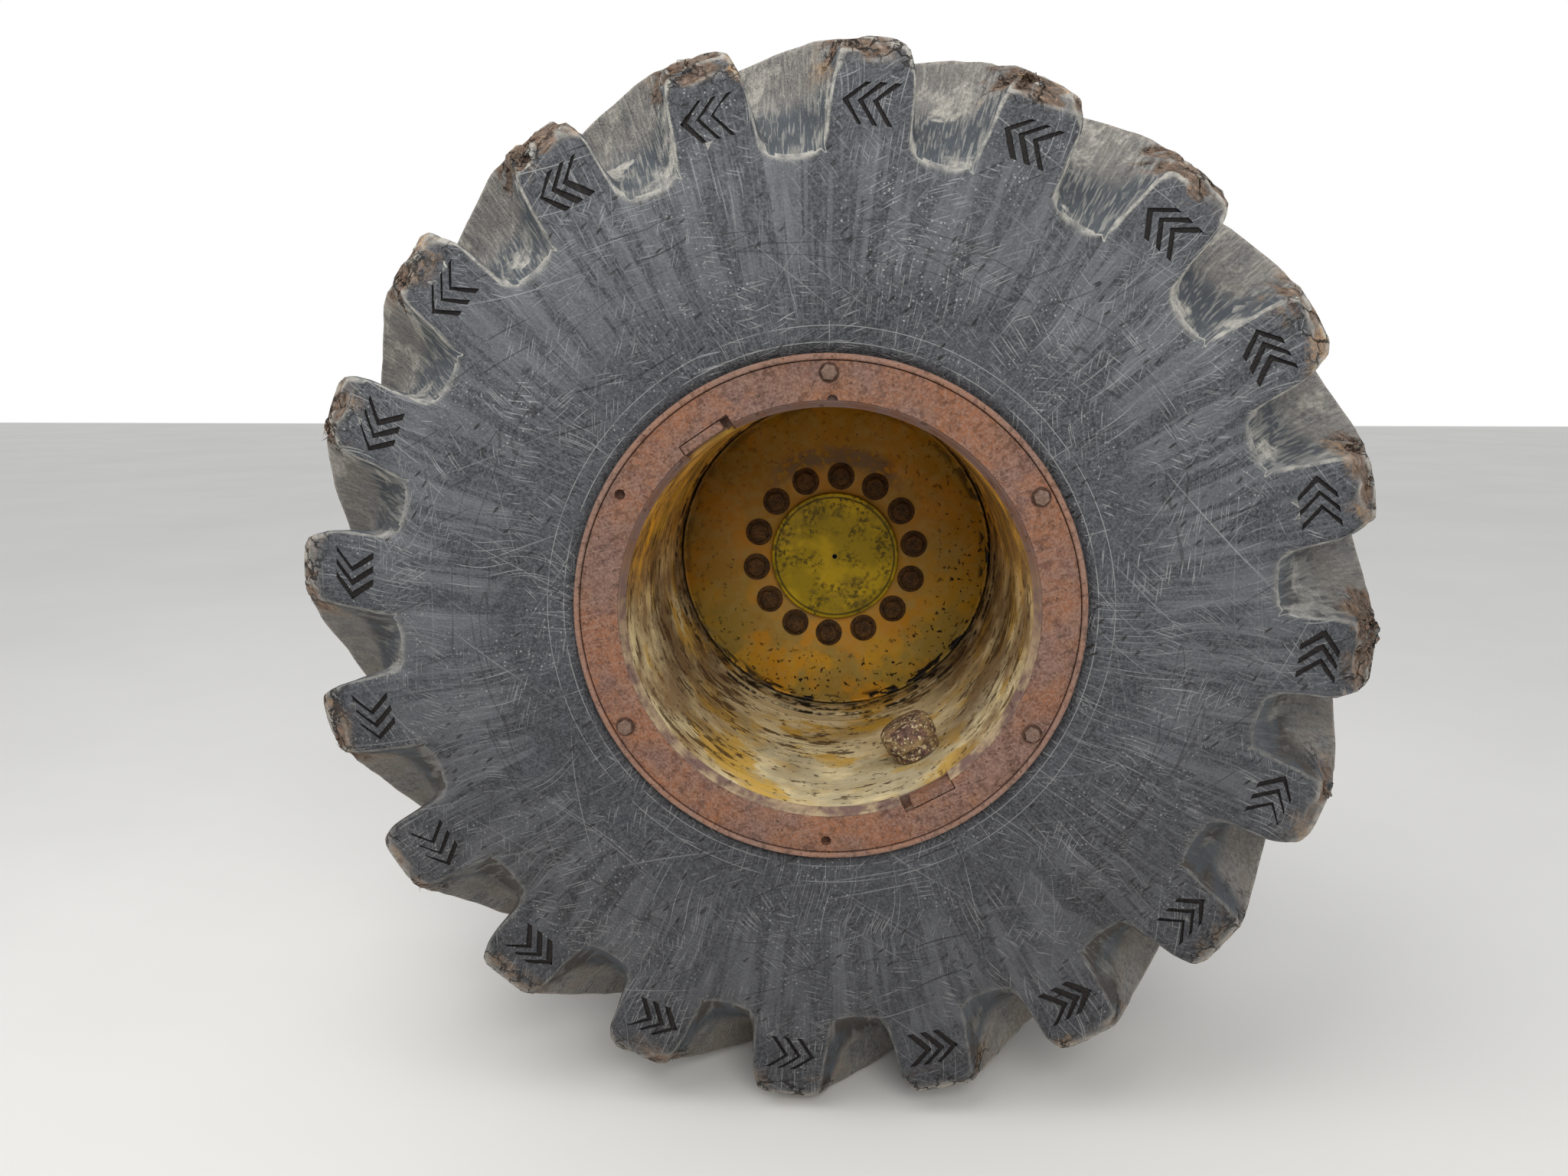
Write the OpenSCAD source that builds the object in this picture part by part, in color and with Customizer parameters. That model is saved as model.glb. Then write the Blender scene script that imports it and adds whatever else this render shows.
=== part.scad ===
// Rear wheel of a forestry skidder with the axle end that carries it.
// The wheel's axis is Y, the outer side of the wheel faces -Y, +Z is up and the
// origin is the centre of the flange that bolts the axle housing to the machine.
// Depths along the axle are counted inboard from the outer face of the rim's lip.

/* [Tyre] */
// Outer diameter over the lugs at the crown
tyre_d = 1944; // [1920:1:1980]
// Width over the sidewalls
tyre_w = 772; // [760:1:790]
// Number of lugs on each side
lug_count = 20; // [18:1:22]
// Height of a lug over the floor of the tread at the crown
lug_h = 70; // [50:1:80]
// Drop from the crown to the edge of a groove on the sidewall
groove_drop = 215; // [205:1:225]
// Width of a lug at its top, along the circumference
lug_top_w = 95; // [84:1:104]
// Width of a lug at its foot, along the circumference
lug_foot_w = 138; // [124:1:146]
// How far the lugs run round from the shoulder to the crown, in degrees
lug_sweep = 20.5; // [14:0.5:24]
// Thickness of the sidewall
sidewall_t = 34; // [25:1:40]
// Thickness of the tread under its floor
undertread_t = 42; // [30:1:50]

/* [Rim] */
// Width between the bead faces of the two flanges
rim_w = 686; // [680:1:700]
// Outer diameter of the flanges
flange_d = 889; // [885:1:893]
// Thickness of a flange, from its bead face to the outer face of its lip
flange_t = 26; // [24:1:30]
// Radial thickness of the rolled lip
lip_t = 10.8; // [8:0.1:12]
// Diameter of the bead seat at the heel of the tyre
bead_seat_d = 812.8; // [811:0.1:814]
// Width of the bead seat, along the axle
bead_seat_w = 50; // [40:1:60]
// Taper of the bead seat, in degrees
bead_taper = 5; // [3:0.5:6]
// Inner diameter of the barrel
barrel_d = 710; // [700:1:716]
// Wall thickness of the barrel
barrel_t = 16; // [12:1:18]
// Diameter of the land that the side ring slides on
gutter_d = 788; // [784:1:790]
// Width of that land, along the axle
gutter_w = 90; // [75:1:100]
// Width of the lock ring, along the axle
lock_w = 13; // [11:0.5:14]
// Depth of the lock ring's groove under the land
lock_h = 10; // [8:0.5:11]
// How far the lock ring stands over the land
lock_lap = 6; // [4:0.5:7]
// Width of the bevel inside the mouth of the barrel, along the axle
nose_bevel = 17; // [12:1:20]
// Depth of the seam inside the barrel
seam_depth = 600; // [580:1:610]

/* [Guard plate and keys] */
// Thickness of the guard plate
plate_t = 10; // [8:0.5:11]
// How far the plate lies behind the face of the lip
plate_recess = 3.5; // [2:0.5:6]
// Inner diameter of the plate
plate_d = 734; // [730:1:738]
// Diameter of the bolt circle of the plate
plate_pcd = 825.4; // [823:0.1:828]
// Diameter of the holes in the plate
plate_hole_d = 18.5; // [17:0.5:19]
// Radial depth of a key notch
notch_h = 12.5; // [10:0.5:13]
// Length of a key notch round the edge
notch_l = 97; // [92:1:105]
// Length of a driver key
key_l = 80; // [70:1:85]
// Depth of a driver key along the axle
key_depth = 34; // [25:1:40]
// Radial thickness of a driver key
key_t = 16; // [13:1:18]
// Diameter of a guard bolt's thread
guard_bolt_d = 15.6; // [14:0.1:16]
// Size across the flats of a guard bolt's head
guard_head_af = 24; // [22:1:26]
// Height of a guard bolt's head
guard_head_h = 8; // [6:0.5:10]
// Diameter of a guard bolt's washer
guard_washer_d = 34; // [30:1:36]
// Thickness of that washer
guard_washer_t = 3; // [2:0.5:4]
// Clock angle of the small notch in the plate's inner edge, in degrees
nick_clock = 0.9; // [0:0.1:10]
// Diameter of that notch
nick_d = 18; // [14:1:22]

/* [Valve] */
// Clock angle of the valve, in degrees
valve_clock = 150.6; // [140:0.1:155]
// Depth of the valve behind the lip
valve_depth = 195; // [170:1:220]
// Diameter of the valve stem
valve_d = 18; // [16:1:20]
// How far the valve stem stands off the barrel's wall
valve_h = 57; // [52:1:60]
// Diameter of the neck of the valve guard
guard_neck_d = 88; // [80:1:92]
// Diameter of the cap of the valve guard
guard_cap_d = 104; // [98:1:106]
// How far the cap's lower edge lies off the barrel's wall
guard_cap_low = 26; // [22:1:28]
// How far the valve guard stands off the barrel's wall
guard_h = 76; // [72:1:78]

/* [Wheel disc and bolts] */
// Depth of the outer face of the disc behind the lip
disc_depth = 690; // [686:1:692]
// Thickness of the disc
disc_t = 22; // [18:1:26]
// Diameter of the bolt circle
wheel_pcd = 364; // [360:1:368]
// Number of wheel bolts
wheel_bolt_count = 14; // [12:1:14]
// Diameter of a wheel bolt's thread
wheel_bolt_d = 24; // [20:1:27]
// Diameter of a washer under a wheel bolt
wheel_washer_d = 61; // [54:1:62]
// Thickness of that washer
wheel_washer_t = 5; // [4:0.5:6]
// Size across the flats of a wheel bolt's head
wheel_head_af = 38; // [34:1:41]
// Height of a wheel bolt's head
wheel_head_h = 13; // [10:1:15]

/* [Axle shaft] */
// Diameter of the pilot that stands through the disc
pilot_d = 288; // [280:1:292]
// How far the pilot stands out of the disc
pilot_h = 19; // [14:1:24]
// Diameter of the flange behind the disc
hub_d = 448; // [430:1:460]
// Thickness of that flange
hub_t = 38; // [32:1:44]
// Diameter of the neck that the seal runs on
neck_d = 184; // [178:1:188]
// Diameter of the outer bearing journal
outer_journal_d = 160; // [150:1:166]
// Diameter of the inner bearing journal
inner_journal_d = 124; // [118:1:130]
// Diameter of the splined end
spline_d = 100; // [92:1:108]
// Number of the splines
spline_count = 28; // [24:1:32]
// Width of a slot between two splines
spline_slot_w = 5.6; // [5:0.1:6]
// Depth of that slot
spline_slot_h = 4; // [3:0.5:5]
// Length of the outer bearing's journal in front of the bearing
journal_lead = 12; // [8:1:14]

/* [Axle housing] */
// Distance from the outer face of the lip to the face of the mounting flange
axle_l = 1150; // [1140:1:1200]
// Diameter of the mounting flange
mount_d = 470; // [462:1:480]
// Thickness of the mounting flange
mount_t = 30; // [24:1:36]
// Diameter of the bolt circle of the mounting flange
mount_pcd = 420; // [415:1:425]
// Number of bolt holes in the mounting flange
mount_bolt_count = 12; // [10:1:16]
// Diameter of the bolt holes in the mounting flange
mount_hole_d = 22; // [18:1:26]
// Outer diameter of the housing at its bearing end
bearing_end_d = 312; // [306:1:330]
// Outer diameter of the housing's waist
waist_d = 244; // [236:1:256]
// Wall thickness of the waist
waist_t = 34; // [32:1:38]
// Number of ribs between the waist and the mounting flange
rib_count = 8; // [6:1:10]
// Thickness of a rib
rib_t = 16; // [12:1:20]
// Space between the shaft's flange and the seal carrier
carrier_space = 26; // [22:1:30]
// Thickness of the seal carrier
carrier_t = 12; // [10:1:14]
// Number of bolts in the seal carrier
carrier_bolt_count = 8; // [6:1:10]
// Diameter of those bolts
carrier_bolt_d = 10; // [8:1:12]
// Size across the flats of their heads
carrier_head_af = 16; // [14:1:18]
// Height of their heads
carrier_head_h = 7; // [5:1:8]
// Width of a bearing, along the axle
bearing_w = 44; // [40:1:48]
// Distance of the outer bearing behind the seal carrier
bearing_inset = 24; // [20:1:28]
// Outer diameter of the outer bearing's seat
outer_seat_d = 256; // [250:1:262]
// Outer diameter of the inner bearing's seat
inner_seat_d = 184; // [178:1:190]
// Distance of the inner bearing's outer side from the mounting face
inner_bearing_back = 114; // [110:1:120]

/* [Fits] */
// Gap between round pieces that are seated in each other
seat_gap = 0.3; // [0.2:0.05:0.5]
// Radial clearance of a journal in its bearing
running_gap = 0.05; // [0.02:0.01:0.1]
// Radial gap between the neck and the seal carrier
seal_gap = 0.5; // [0.3:0.1:1]

/* [Hidden] */
$fn = 96;

flange_r = flange_d / 2;
bead_r = bead_seat_d / 2;
barrel_r = barrel_d / 2;
gutter_r = gutter_d / 2;
rim_total = rim_w + 2 * flange_t;
mid_depth = rim_total / 2;
plate_back = plate_recess + plate_t;
plate_outer_r = flange_r - lip_t - seat_gap;
wheel_bolt_r = wheel_pcd / 2;
disc_back = disc_depth + disc_t;
hub_back = disc_back + hub_t;

// Places a piece that is drawn about its own axis, with depth as its height, on the axle.
module on_axle() translate([0, -axle_l, 0]) rotate([-90, 0, 0]) children();

// Turns a piece to a clock angle, in degrees clockwise from the top as seen from outside.
module at_clock(angle) rotate([0, 0, angle - 90]) children();

module revolve(section) rotate_extrude() polygon(section);

module tube(r_in, r_out, low, high)
    rotate_extrude() translate([r_in, low]) square([r_out - r_in, high - low]);

module hexagon(across_flats, height) cylinder(d = across_flats / cos(30), h = height, $fn = 6);

// The tyre is one net of points. Its rows run from the toe of one bead over the tread to the
// other, and a half of the tread has six columns to a lug: the foot and the top of its one
// flank, the top and the foot of the other, and two on the floor of the groove.
tyre_r = tyre_d / 2;
half_w = tyre_w / 2;
pitch = 360 / lug_count;
lug_phase = 4.8;
root_r = tyre_r - groove_drop;
wall_h = root_r - flange_r;
shoulder_u = half_w - 46;
bead_u = rim_w / 2 - seat_gap;
toe_u = bead_u - 43;
facet_lift = 0.9;

// Sidewall rows: [radius, distance from the middle plane]
SIDEWALL = [
    [bead_r + facet_lift - (bead_u - toe_u) * tan(bead_taper), toe_u],
    [bead_r + facet_lift, bead_u],
    [flange_r + 1.5, bead_u],
    [flange_r + 10, bead_u + 20],
    [flange_r + 0.16 * wall_h, half_w - 16],
    [flange_r + 0.42 * wall_h, half_w - 2],
    [flange_r + 0.64 * wall_h, half_w],
    [flange_r + 0.84 * wall_h, half_w - 8]
];

// Tread rows: [top radius, top distance, foot radius, foot distance, floor radius, floor
// distance, and how far the four edges flare: counter-clockwise foot and top, clockwise top
// and foot]. The first row lies on the sidewall, the third is the end of a lug's side face.
top_a = lug_top_w / 2 / tyre_r * 180 / PI;
foot_a = lug_foot_w / 2 / (tyre_r - lug_h) * 180 / PI;
floor_r = tyre_r - lug_h;
tip_r = tyre_r - 69;
TREAD = [
    [root_r - 22, half_w - 15, root_r - 22, half_w - 15, root_r - 22, half_w - 15, 1.5, 0, -0.2, 1],
    [root_r + 16, half_w - 24, root_r + 9, half_w - 28, root_r + 1, half_w - 29, 2.1, 2.3, 1.6, 1.1],
    [tip_r, half_w - 35, root_r + 44, half_w - 66, root_r + 36, half_w - 69, 1.7, 1.5, 1.1, 0.9],
    [tyre_r - 20, shoulder_u - 16, root_r + 78, 278, root_r + 70, 275, 1.2, 0.6, 0.5, 0.6],
    [tyre_r - 5, 268, floor_r - 16, 225, floor_r - 24, 223, 0.5, 0.1, 0.1, 0.2],
    [tyre_r - 1, 165, floor_r + 4, 150, floor_r - 4, 150, 0, 0, 0, 0],
    [tyre_r, 70, floor_r + 8, 75, floor_r, 118, 0, 0, 0, 0],
    [tyre_r - 1, -34, floor_r + 4, 8, floor_r, 84, -0.7, -1, -1, -0.7]
];

function sweep(u) =
    let (t = max(0, (shoulder_u - u) / shoulder_u)) lug_sweep * (0.25 * t + 0.75 * pow(t, 1.6));

function polar(r, angle, u, side) =
    [r * cos(angle - 90), r * sin(angle - 90), mid_depth - side * u];

// The columns of one tread row for one pitch, as [radius, distance, angle before the sweep]
function tread_columns(row) = [
    [row[2], row[3], -foot_a - row[6]],
    [row[0], row[1], -top_a - row[7]],
    [row[0], row[1], top_a + row[8]],
    [row[2], row[3], foot_a + row[9]],
    [row[4], row[5], pitch / 2 - 1.5],
    [row[4], row[5], pitch / 2 + 1.5]
];

// Where the two halves meet on the floor, the line runs round the nose of each lug
MEETING = [[0, -4.5], [-60, -1.7], [-60, 1.7], [0, 4.5], [60, 7.3], [60, 10.7]];

wall_cols = 3 * lug_count;
tread_cols = 6 * lug_count;
half_rows = len(SIDEWALL) * wall_cols + len(TREAD) * tread_cols;

function wall_points(side) = [
    for (row = SIDEWALL) for (i = [0:wall_cols - 1])
        polar(row[0], lug_phase + (side < 0 ? pitch / 2 : 0) + (2 * i - 1.3) * pitch / 6, row[1], side)
];
function tread_points(side) = [
    for (row = TREAD) for (i = [0:lug_count - 1]) for (c = tread_columns(row))
        polar(c[0], lug_phase + (side < 0 ? pitch / 2 : 0) + i * pitch + c[2] - sweep(c[1]), c[1], side)
];
function meeting_points() = [
    for (i = [0:lug_count - 1]) for (c = MEETING)
        polar(floor_r, lug_phase + i * pitch + c[1] * pitch / 18 - lug_sweep, c[0], 1)
];

function turned(face, side) = side > 0 ? face : [for (i = [len(face) - 1:-1:0]) face[i]];
function strip(a, b, cols, side) = [
    for (i = [0:cols - 1]) let (j = (i + 1) % cols) turned([a + i, b + i, b + j, a + j], side)
];
// A row of three columns to a pitch meets a row of six
function widening(a, b, side) = [
    for (i = [0:wall_cols - 1]) let (j = (i + 1) % wall_cols, m = (2 * i + 2) % tread_cols)
        each [
            turned([a + i, b + 2 * i, b + 2 * i + 1], side),
            turned([a + i, b + 2 * i + 1, a + j], side),
            turned([a + j, b + 2 * i + 1, b + m], side)
        ]
];
// The last tread row of one half meets the line that both halves share
function closing(a, b, side) = [
    for (i = [0:tread_cols - 1])
        let (j = (i + 1) % tread_cols, shift = side > 0 ? 0 : 3)
            turned([a + i, b + (i + shift) % tread_cols, b + (j + shift) % tread_cols, a + j], side)
];
function half_faces(start, meeting, side) =
    let (
        walls = len(SIDEWALL),
        treads = len(TREAD),
        tread_start = start + walls * wall_cols
    )
    [
        for (k = [0:walls - 2])
            each strip(start + k * wall_cols, start + (k + 1) * wall_cols, wall_cols, side),
        each widening(start + (walls - 1) * wall_cols, tread_start, side),
        for (k = [0:treads - 2])
            each strip(tread_start + k * tread_cols, tread_start + (k + 1) * tread_cols, tread_cols, side),
        each closing(tread_start + (treads - 1) * tread_cols, meeting, side)
    ];
// The two toes are joined across the bore, and the hollow then opens that wall
function bore_faces() = [
    for (i = [0:wall_cols - 1])
        let (j = (i + 1) % wall_cols)
            [half_rows + i, i, j, half_rows + j]
];

module tyre_body()
    polyhedron(
        points = concat(
            wall_points(1), tread_points(1), wall_points(-1), tread_points(-1), meeting_points()
        ),
        faces = concat(
            half_faces(0, 2 * half_rows, 1), half_faces(half_rows, 2 * half_rows, -1), bore_faces()
        )
    );

liner_r = floor_r - undertread_t;
module tyre_hollow()
    translate([0, 0, mid_depth])
        revolve([
            [bead_r - 30, -toe_u + 8], [bead_r + 40, -toe_u + 4],
            [SIDEWALL[5][0], sidewall_t + 4 - half_w], [SIDEWALL[6][0], sidewall_t - half_w],
            [root_r, sidewall_t + 24 - half_w], [liner_r - 8, 150 - shoulder_u], [liner_r, -150],
            [liner_r, 150], [liner_r - 8, shoulder_u - 150], [root_r, half_w - sidewall_t - 24],
            [SIDEWALL[6][0], half_w - sidewall_t], [SIDEWALL[5][0], half_w - sidewall_t - 4],
            [bead_r + 40, toe_u - 4], [bead_r - 30, toe_u - 8]
        ]);

module tyre()
    color("#47494d")
        on_axle()
            difference() {
                tyre_body();
                tyre_hollow();
            }

// Rim
nose_r = plate_d / 2 - seat_gap;
barrel_out_r = barrel_r + barrel_t;
seat_toe_r = bead_r - bead_seat_w * tan(bead_taper);
inner_seat = rim_total - flange_t;
// The barrel reaches past the wheel disc, which is welded inside it
barrel_end = max(rim_total - 2, disc_back + 24);
lip_r = flange_r - lip_t;

module key_pocket(angle, depth)
    at_clock(angle)
        translate([plate_d / 2 - 30, -notch_l / 2, -1])
            cube([notch_h + 30, notch_l, depth + 1]);

NOTCHES = [151, 326];

module rim_base()
    color("#b9a05c")
        on_axle()
            difference() {
                revolve([
                    [barrel_r, plate_recess + nose_bevel], [nose_r, plate_recess],
                    [nose_r, plate_back], [gutter_r - lock_h, plate_back],
                    [gutter_r - lock_h, plate_back + lock_w + seat_gap],
                    [gutter_r, plate_back + lock_w + seat_gap],
                    [gutter_r, plate_back + lock_w + gutter_w],
                    [barrel_out_r, plate_back + lock_w + gutter_w + 30],
                    [barrel_out_r, inner_seat - 130],
                    [seat_toe_r - 4, inner_seat - bead_seat_w - 30],
                    [seat_toe_r, inner_seat - bead_seat_w],
                    [bead_r, inner_seat],
                    [flange_r - 3, inner_seat], [flange_r, inner_seat + 3],
                    [flange_r, rim_total - 4], [flange_r - 3, rim_total],
                    [lip_r + 2, rim_total], [lip_r, rim_total - 3], [lip_r, inner_seat + 12],
                    [barrel_out_r, inner_seat + 12], [barrel_out_r, barrel_end],
                    [barrel_r, barrel_end],
                    [barrel_r, seam_depth + 36], [barrel_r - 3, seam_depth + 30],
                    [barrel_r - 3, seam_depth + 6], [barrel_r, seam_depth]
                ]);
                for (angle = NOTCHES) key_pocket(angle, plate_recess + key_depth);
            }

module side_ring()
    color("#8f7268")
        on_axle()
            difference() {
                revolve([
                    [gutter_r + lock_lap, plate_back], [lip_r, plate_back], [lip_r, 3], [lip_r + 2.5, 0],
                    [flange_r - 3, 0], [flange_r, 4], [flange_r, flange_t - 3],
                    [flange_r - 3, flange_t], [bead_r, flange_t],
                    [seat_toe_r, flange_t + bead_seat_w],
                    [gutter_r + seat_gap, flange_t + bead_seat_w + 20],
                    [gutter_r + seat_gap, plate_back + lock_w + seat_gap],
                    [gutter_r + lock_lap, plate_back + lock_w + seat_gap]
                ]);
                for (i = [0:5]) at_clock(60 * i)
                    translate([plate_pcd / 2, 0, -1]) cylinder(r = guard_bolt_r + seat_gap, h = flange_t);
            }

module lock_ring()
    color("#6e5a50")
        on_axle()
            difference() {
                tube(
                    gutter_r - lock_h + seat_gap, gutter_r + lock_lap - seat_gap,
                    plate_back, plate_back + lock_w
                );
                at_clock(60) translate([0, -6, 0]) cube([flange_r, 12, 60]);
            }

module guard_plate()
    color("#7d5f55")
        on_axle()
            difference() {
                tube(plate_d / 2, plate_outer_r, plate_recess, plate_back);
                for (i = [0:5]) at_clock(60 * i)
                    translate([plate_pcd / 2, 0, 0]) cylinder(d = plate_hole_d, h = plate_back + 1);
                for (angle = NOTCHES) key_pocket(angle, plate_back);
                at_clock(nick_clock)
                    translate([plate_d / 2, 0, 0]) cylinder(d = nick_d, h = plate_back + 1);
            }

guard_bolt_r = guard_bolt_d / 2;
GUARD_BOLTS = [0, 60, 120, 240];
// How far a guard bolt is screwed into the side ring
guard_grip = flange_t - plate_back - 1.5;

module guard_washers()
    color("#8a6a5c")
        on_axle()
            for (angle = GUARD_BOLTS) at_clock(angle)
                translate([plate_pcd / 2, 0, plate_recess - guard_washer_t])
                    tube(guard_bolt_r + seat_gap, guard_washer_d / 2, 0, guard_washer_t);

module guard_bolts()
    color("#84614f")
        on_axle()
            for (angle = GUARD_BOLTS) at_clock(angle)
                translate([plate_pcd / 2, 0, plate_recess - guard_washer_t]) {
                    translate([0, 0, -guard_head_h]) hexagon(guard_head_af, guard_head_h);
                    cylinder(r = guard_bolt_r, h = guard_washer_t + plate_t + guard_grip);
                }

module driver_keys()
    color("#85604e")
        on_axle()
            for (angle = NOTCHES) at_clock(angle)
                translate([plate_d / 2 + notch_h - seat_gap - key_t, -notch_l / 2 + seat_gap, plate_recess])
                    cube([key_t, key_l, key_depth - seat_gap]);

// Stands a piece that is drawn upwards from the barrel's wall at the valve's place
module at_valve()
    on_axle() at_clock(valve_clock) translate([barrel_r, 0, valve_depth]) rotate([0, -90, 0]) children();

guard_neck_r = guard_neck_d / 2;
guard_cap_r = guard_cap_d / 2;
// The neck's flat foot clears the round wall of the barrel by the seat's gap
guard_foot = barrel_r - sqrt(pow(barrel_r, 2) - pow(guard_neck_r, 2)) + seat_gap;

module valve_stem()
    color("#9a8a5a")
        at_valve()
            revolve([
                [0, seat_gap], [valve_d / 2, seat_gap], [valve_d / 2, valve_h - 37],
                [valve_d / 2 - 2.5, valve_h - 35], [valve_d / 2 - 2.5, valve_h - 16],
                [valve_d / 2 - 1, valve_h - 15], [valve_d / 2 - 1, valve_h - 3],
                [valve_d / 2 - 4, valve_h], [0, valve_h]
            ]);

// The guard is a squat cap on a ringed neck, with a groove round it and a domed top
module valve_guard()
    color("#b39a45")
        at_valve()
            difference() {
                revolve([
                    [0, guard_foot], [guard_neck_r, guard_foot],
                    [guard_neck_r, 12], [guard_neck_r + 1.6, 14], [guard_neck_r, 16],
                    [guard_neck_r, guard_cap_low], [guard_cap_r - 2, guard_cap_low],
                    [guard_cap_r, guard_cap_low + 3], [guard_cap_r, guard_cap_low + 24],
                    [guard_cap_r - 2, guard_cap_low + 27], [guard_cap_r - 2, guard_cap_low + 30],
                    [guard_cap_r, guard_cap_low + 33], [guard_cap_r - 3, guard_h - 9],
                    [guard_cap_r - 10, guard_h - 3.5], [guard_cap_r - 26, guard_h - 0.6], [0, guard_h]
                ]);
                translate([0, 0, 2]) cylinder(r = guard_neck_r - 10, h = guard_h - 10);
            }

// Wheel disc
module wheel_disc()
    color("#a9781f")
        on_axle()
            difference() {
                revolve([
                    [pilot_d / 2 + seat_gap, disc_depth], [barrel_r - 10, disc_depth],
                    [barrel_r - seat_gap, disc_depth - 10], [barrel_r - seat_gap, disc_back + 10],
                    [barrel_r - 10, disc_back], [pilot_d / 2 + seat_gap, disc_back]
                ]);
                for (i = [0:wheel_bolt_count - 1]) at_clock(4 + 360 / wheel_bolt_count * i)
                    translate([wheel_bolt_r, 0, disc_depth - 1])
                        cylinder(r = wheel_bolt_d / 2 + 1, h = disc_t + 2);
            }

module wheel_washers()
    color("#3f2e24")
        on_axle()
            for (i = [0:wheel_bolt_count - 1]) at_clock(4 + 360 / wheel_bolt_count * i)
                translate([wheel_bolt_r, 0, disc_depth - wheel_washer_t])
                    tube(wheel_bolt_d / 2 + seat_gap, wheel_washer_d / 2, 0, wheel_washer_t);

module wheel_bolts()
    color("#3a2a20")
        on_axle()
            for (i = [0:wheel_bolt_count - 1]) at_clock(4 + 360 / wheel_bolt_count * i)
                translate([wheel_bolt_r, 0, disc_depth - wheel_washer_t]) {
                    translate([0, 0, -wheel_head_h]) hexagon(wheel_head_af, wheel_head_h);
                    cylinder(d = wheel_bolt_d, h = wheel_washer_t + disc_t + hub_t - 4);
                }

// Axle shaft
pilot_r = pilot_d / 2;
pilot_face = disc_depth - pilot_h;
carrier_front = hub_back + carrier_space;
housing_front = carrier_front + carrier_t;
outer_bearing_at = housing_front + bearing_inset;
neck_end = outer_bearing_at - journal_lead;
inner_bearing_at = axle_l - inner_bearing_back;
spline_start = inner_bearing_at + bearing_w + 8;
spline_end = axle_l - 12;

module axle_shaft()
    color("#8f8420")
        on_axle()
            difference() {
                revolve([
                    [0, pilot_face], [pilot_r - 11, pilot_face], [pilot_r - 11, pilot_face + 3],
                    [pilot_r - 7, pilot_face + 3], [pilot_r - 7, pilot_face],
                    [pilot_r - 2, pilot_face], [pilot_r, pilot_face + 2], [pilot_r, disc_back],
                    [hub_d / 2 - 3, disc_back], [hub_d / 2, disc_back + 3],
                    [hub_d / 2, hub_back - 3], [hub_d / 2 - 3, hub_back],
                    [neck_d / 2 + 22, hub_back], [neck_d / 2, hub_back + 16],
                    [neck_d / 2, neck_end], [outer_journal_d / 2, neck_end],
                    [outer_journal_d / 2, outer_bearing_at + bearing_w + 6],
                    [inner_journal_d / 2 - 6, outer_bearing_at + bearing_w + 30],
                    [inner_journal_d / 2 - 6, inner_bearing_at - 16],
                    [inner_journal_d / 2, inner_bearing_at - 10],
                    [inner_journal_d / 2, inner_bearing_at + bearing_w + 4],
                    [spline_d / 2, spline_start],
                    [spline_d / 2, spline_end - 3], [spline_d / 2 - 3, spline_end], [0, spline_end]
                ]);
                translate([0, 0, pilot_face - 1]) cylinder(r = 4, h = 16);
                for (i = [0:wheel_bolt_count - 1]) at_clock(4 + 360 / wheel_bolt_count * i)
                    translate([wheel_bolt_r, 0, disc_back - 1])
                        cylinder(r = wheel_bolt_d / 2 + seat_gap, h = hub_t + 2);
                for (i = [0:spline_count - 1]) at_clock(360 / spline_count * i)
                    translate([spline_d / 2 - spline_slot_h, -spline_slot_w / 2, spline_start + 6])
                        cube([spline_slot_h + 1, spline_slot_w, spline_end - spline_start]);
            }

// Axle housing
outer_seat_r = outer_seat_d / 2;
inner_seat_r = inner_seat_d / 2;
waist_r = waist_d / 2;

module axle_housing()
    color("#a08a3a")
        on_axle()
            difference() {
                union() {
                    revolve([
                        [waist_r - waist_t, housing_front], [bearing_end_d / 2 - 6, housing_front],
                        [bearing_end_d / 2, housing_front + 6], [bearing_end_d / 2, housing_front + 62],
                        [waist_r + 14, housing_front + 96], [waist_r, housing_front + 140],
                        [waist_r, axle_l - 140], [waist_r + 24, axle_l - 90],
                        [mount_pcd / 2 - 34, axle_l - mount_t - 18], [mount_pcd / 2 - 26, axle_l - mount_t],
                        [mount_d / 2 - 3, axle_l - mount_t], [mount_d / 2, axle_l - mount_t + 3],
                        [mount_d / 2, axle_l], [waist_r - waist_t, axle_l]
                    ]);
                    for (i = [0:rib_count - 1]) at_clock(360 / rib_count * (i + 0.5))
                        rotate([90, 0, 0]) translate([0, 0, -rib_t / 2])
                            linear_extrude(rib_t)
                                polygon([
                                    [waist_r - 10, housing_front + 160], [waist_r + 2, housing_front + 160],
                                    [mount_d / 2 - 12, axle_l - mount_t - 6],
                                    [mount_d / 2 - 12, axle_l - mount_t + 5],
                                    [waist_r - 10, axle_l - mount_t + 5]
                                ]);
                }
                translate([0, 0, housing_front - 1])
                    cylinder(r = outer_seat_r, h = outer_bearing_at + bearing_w + 1 - housing_front);
                translate([0, 0, inner_bearing_at]) cylinder(r = inner_seat_r, h = axle_l);
                for (i = [0:mount_bolt_count - 1]) at_clock(360 / mount_bolt_count * i)
                    translate([mount_pcd / 2, 0, axle_l - mount_t - 1])
                        cylinder(d = mount_hole_d, h = mount_t + 2);
            }

module outer_bearing()
    color("#9c9c98")
        on_axle()
            tube(
                outer_journal_d / 2 + running_gap, outer_seat_r - seat_gap,
                outer_bearing_at, outer_bearing_at + bearing_w
            );

module inner_bearing()
    color("#9c9c98")
        on_axle()
            tube(
                inner_journal_d / 2 + running_gap, inner_seat_r - seat_gap,
                inner_bearing_at, inner_bearing_at + bearing_w
            );

carrier_bolt_r = carrier_bolt_d / 2;
carrier_pcd_r = bearing_end_d / 2 - 14;

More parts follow.
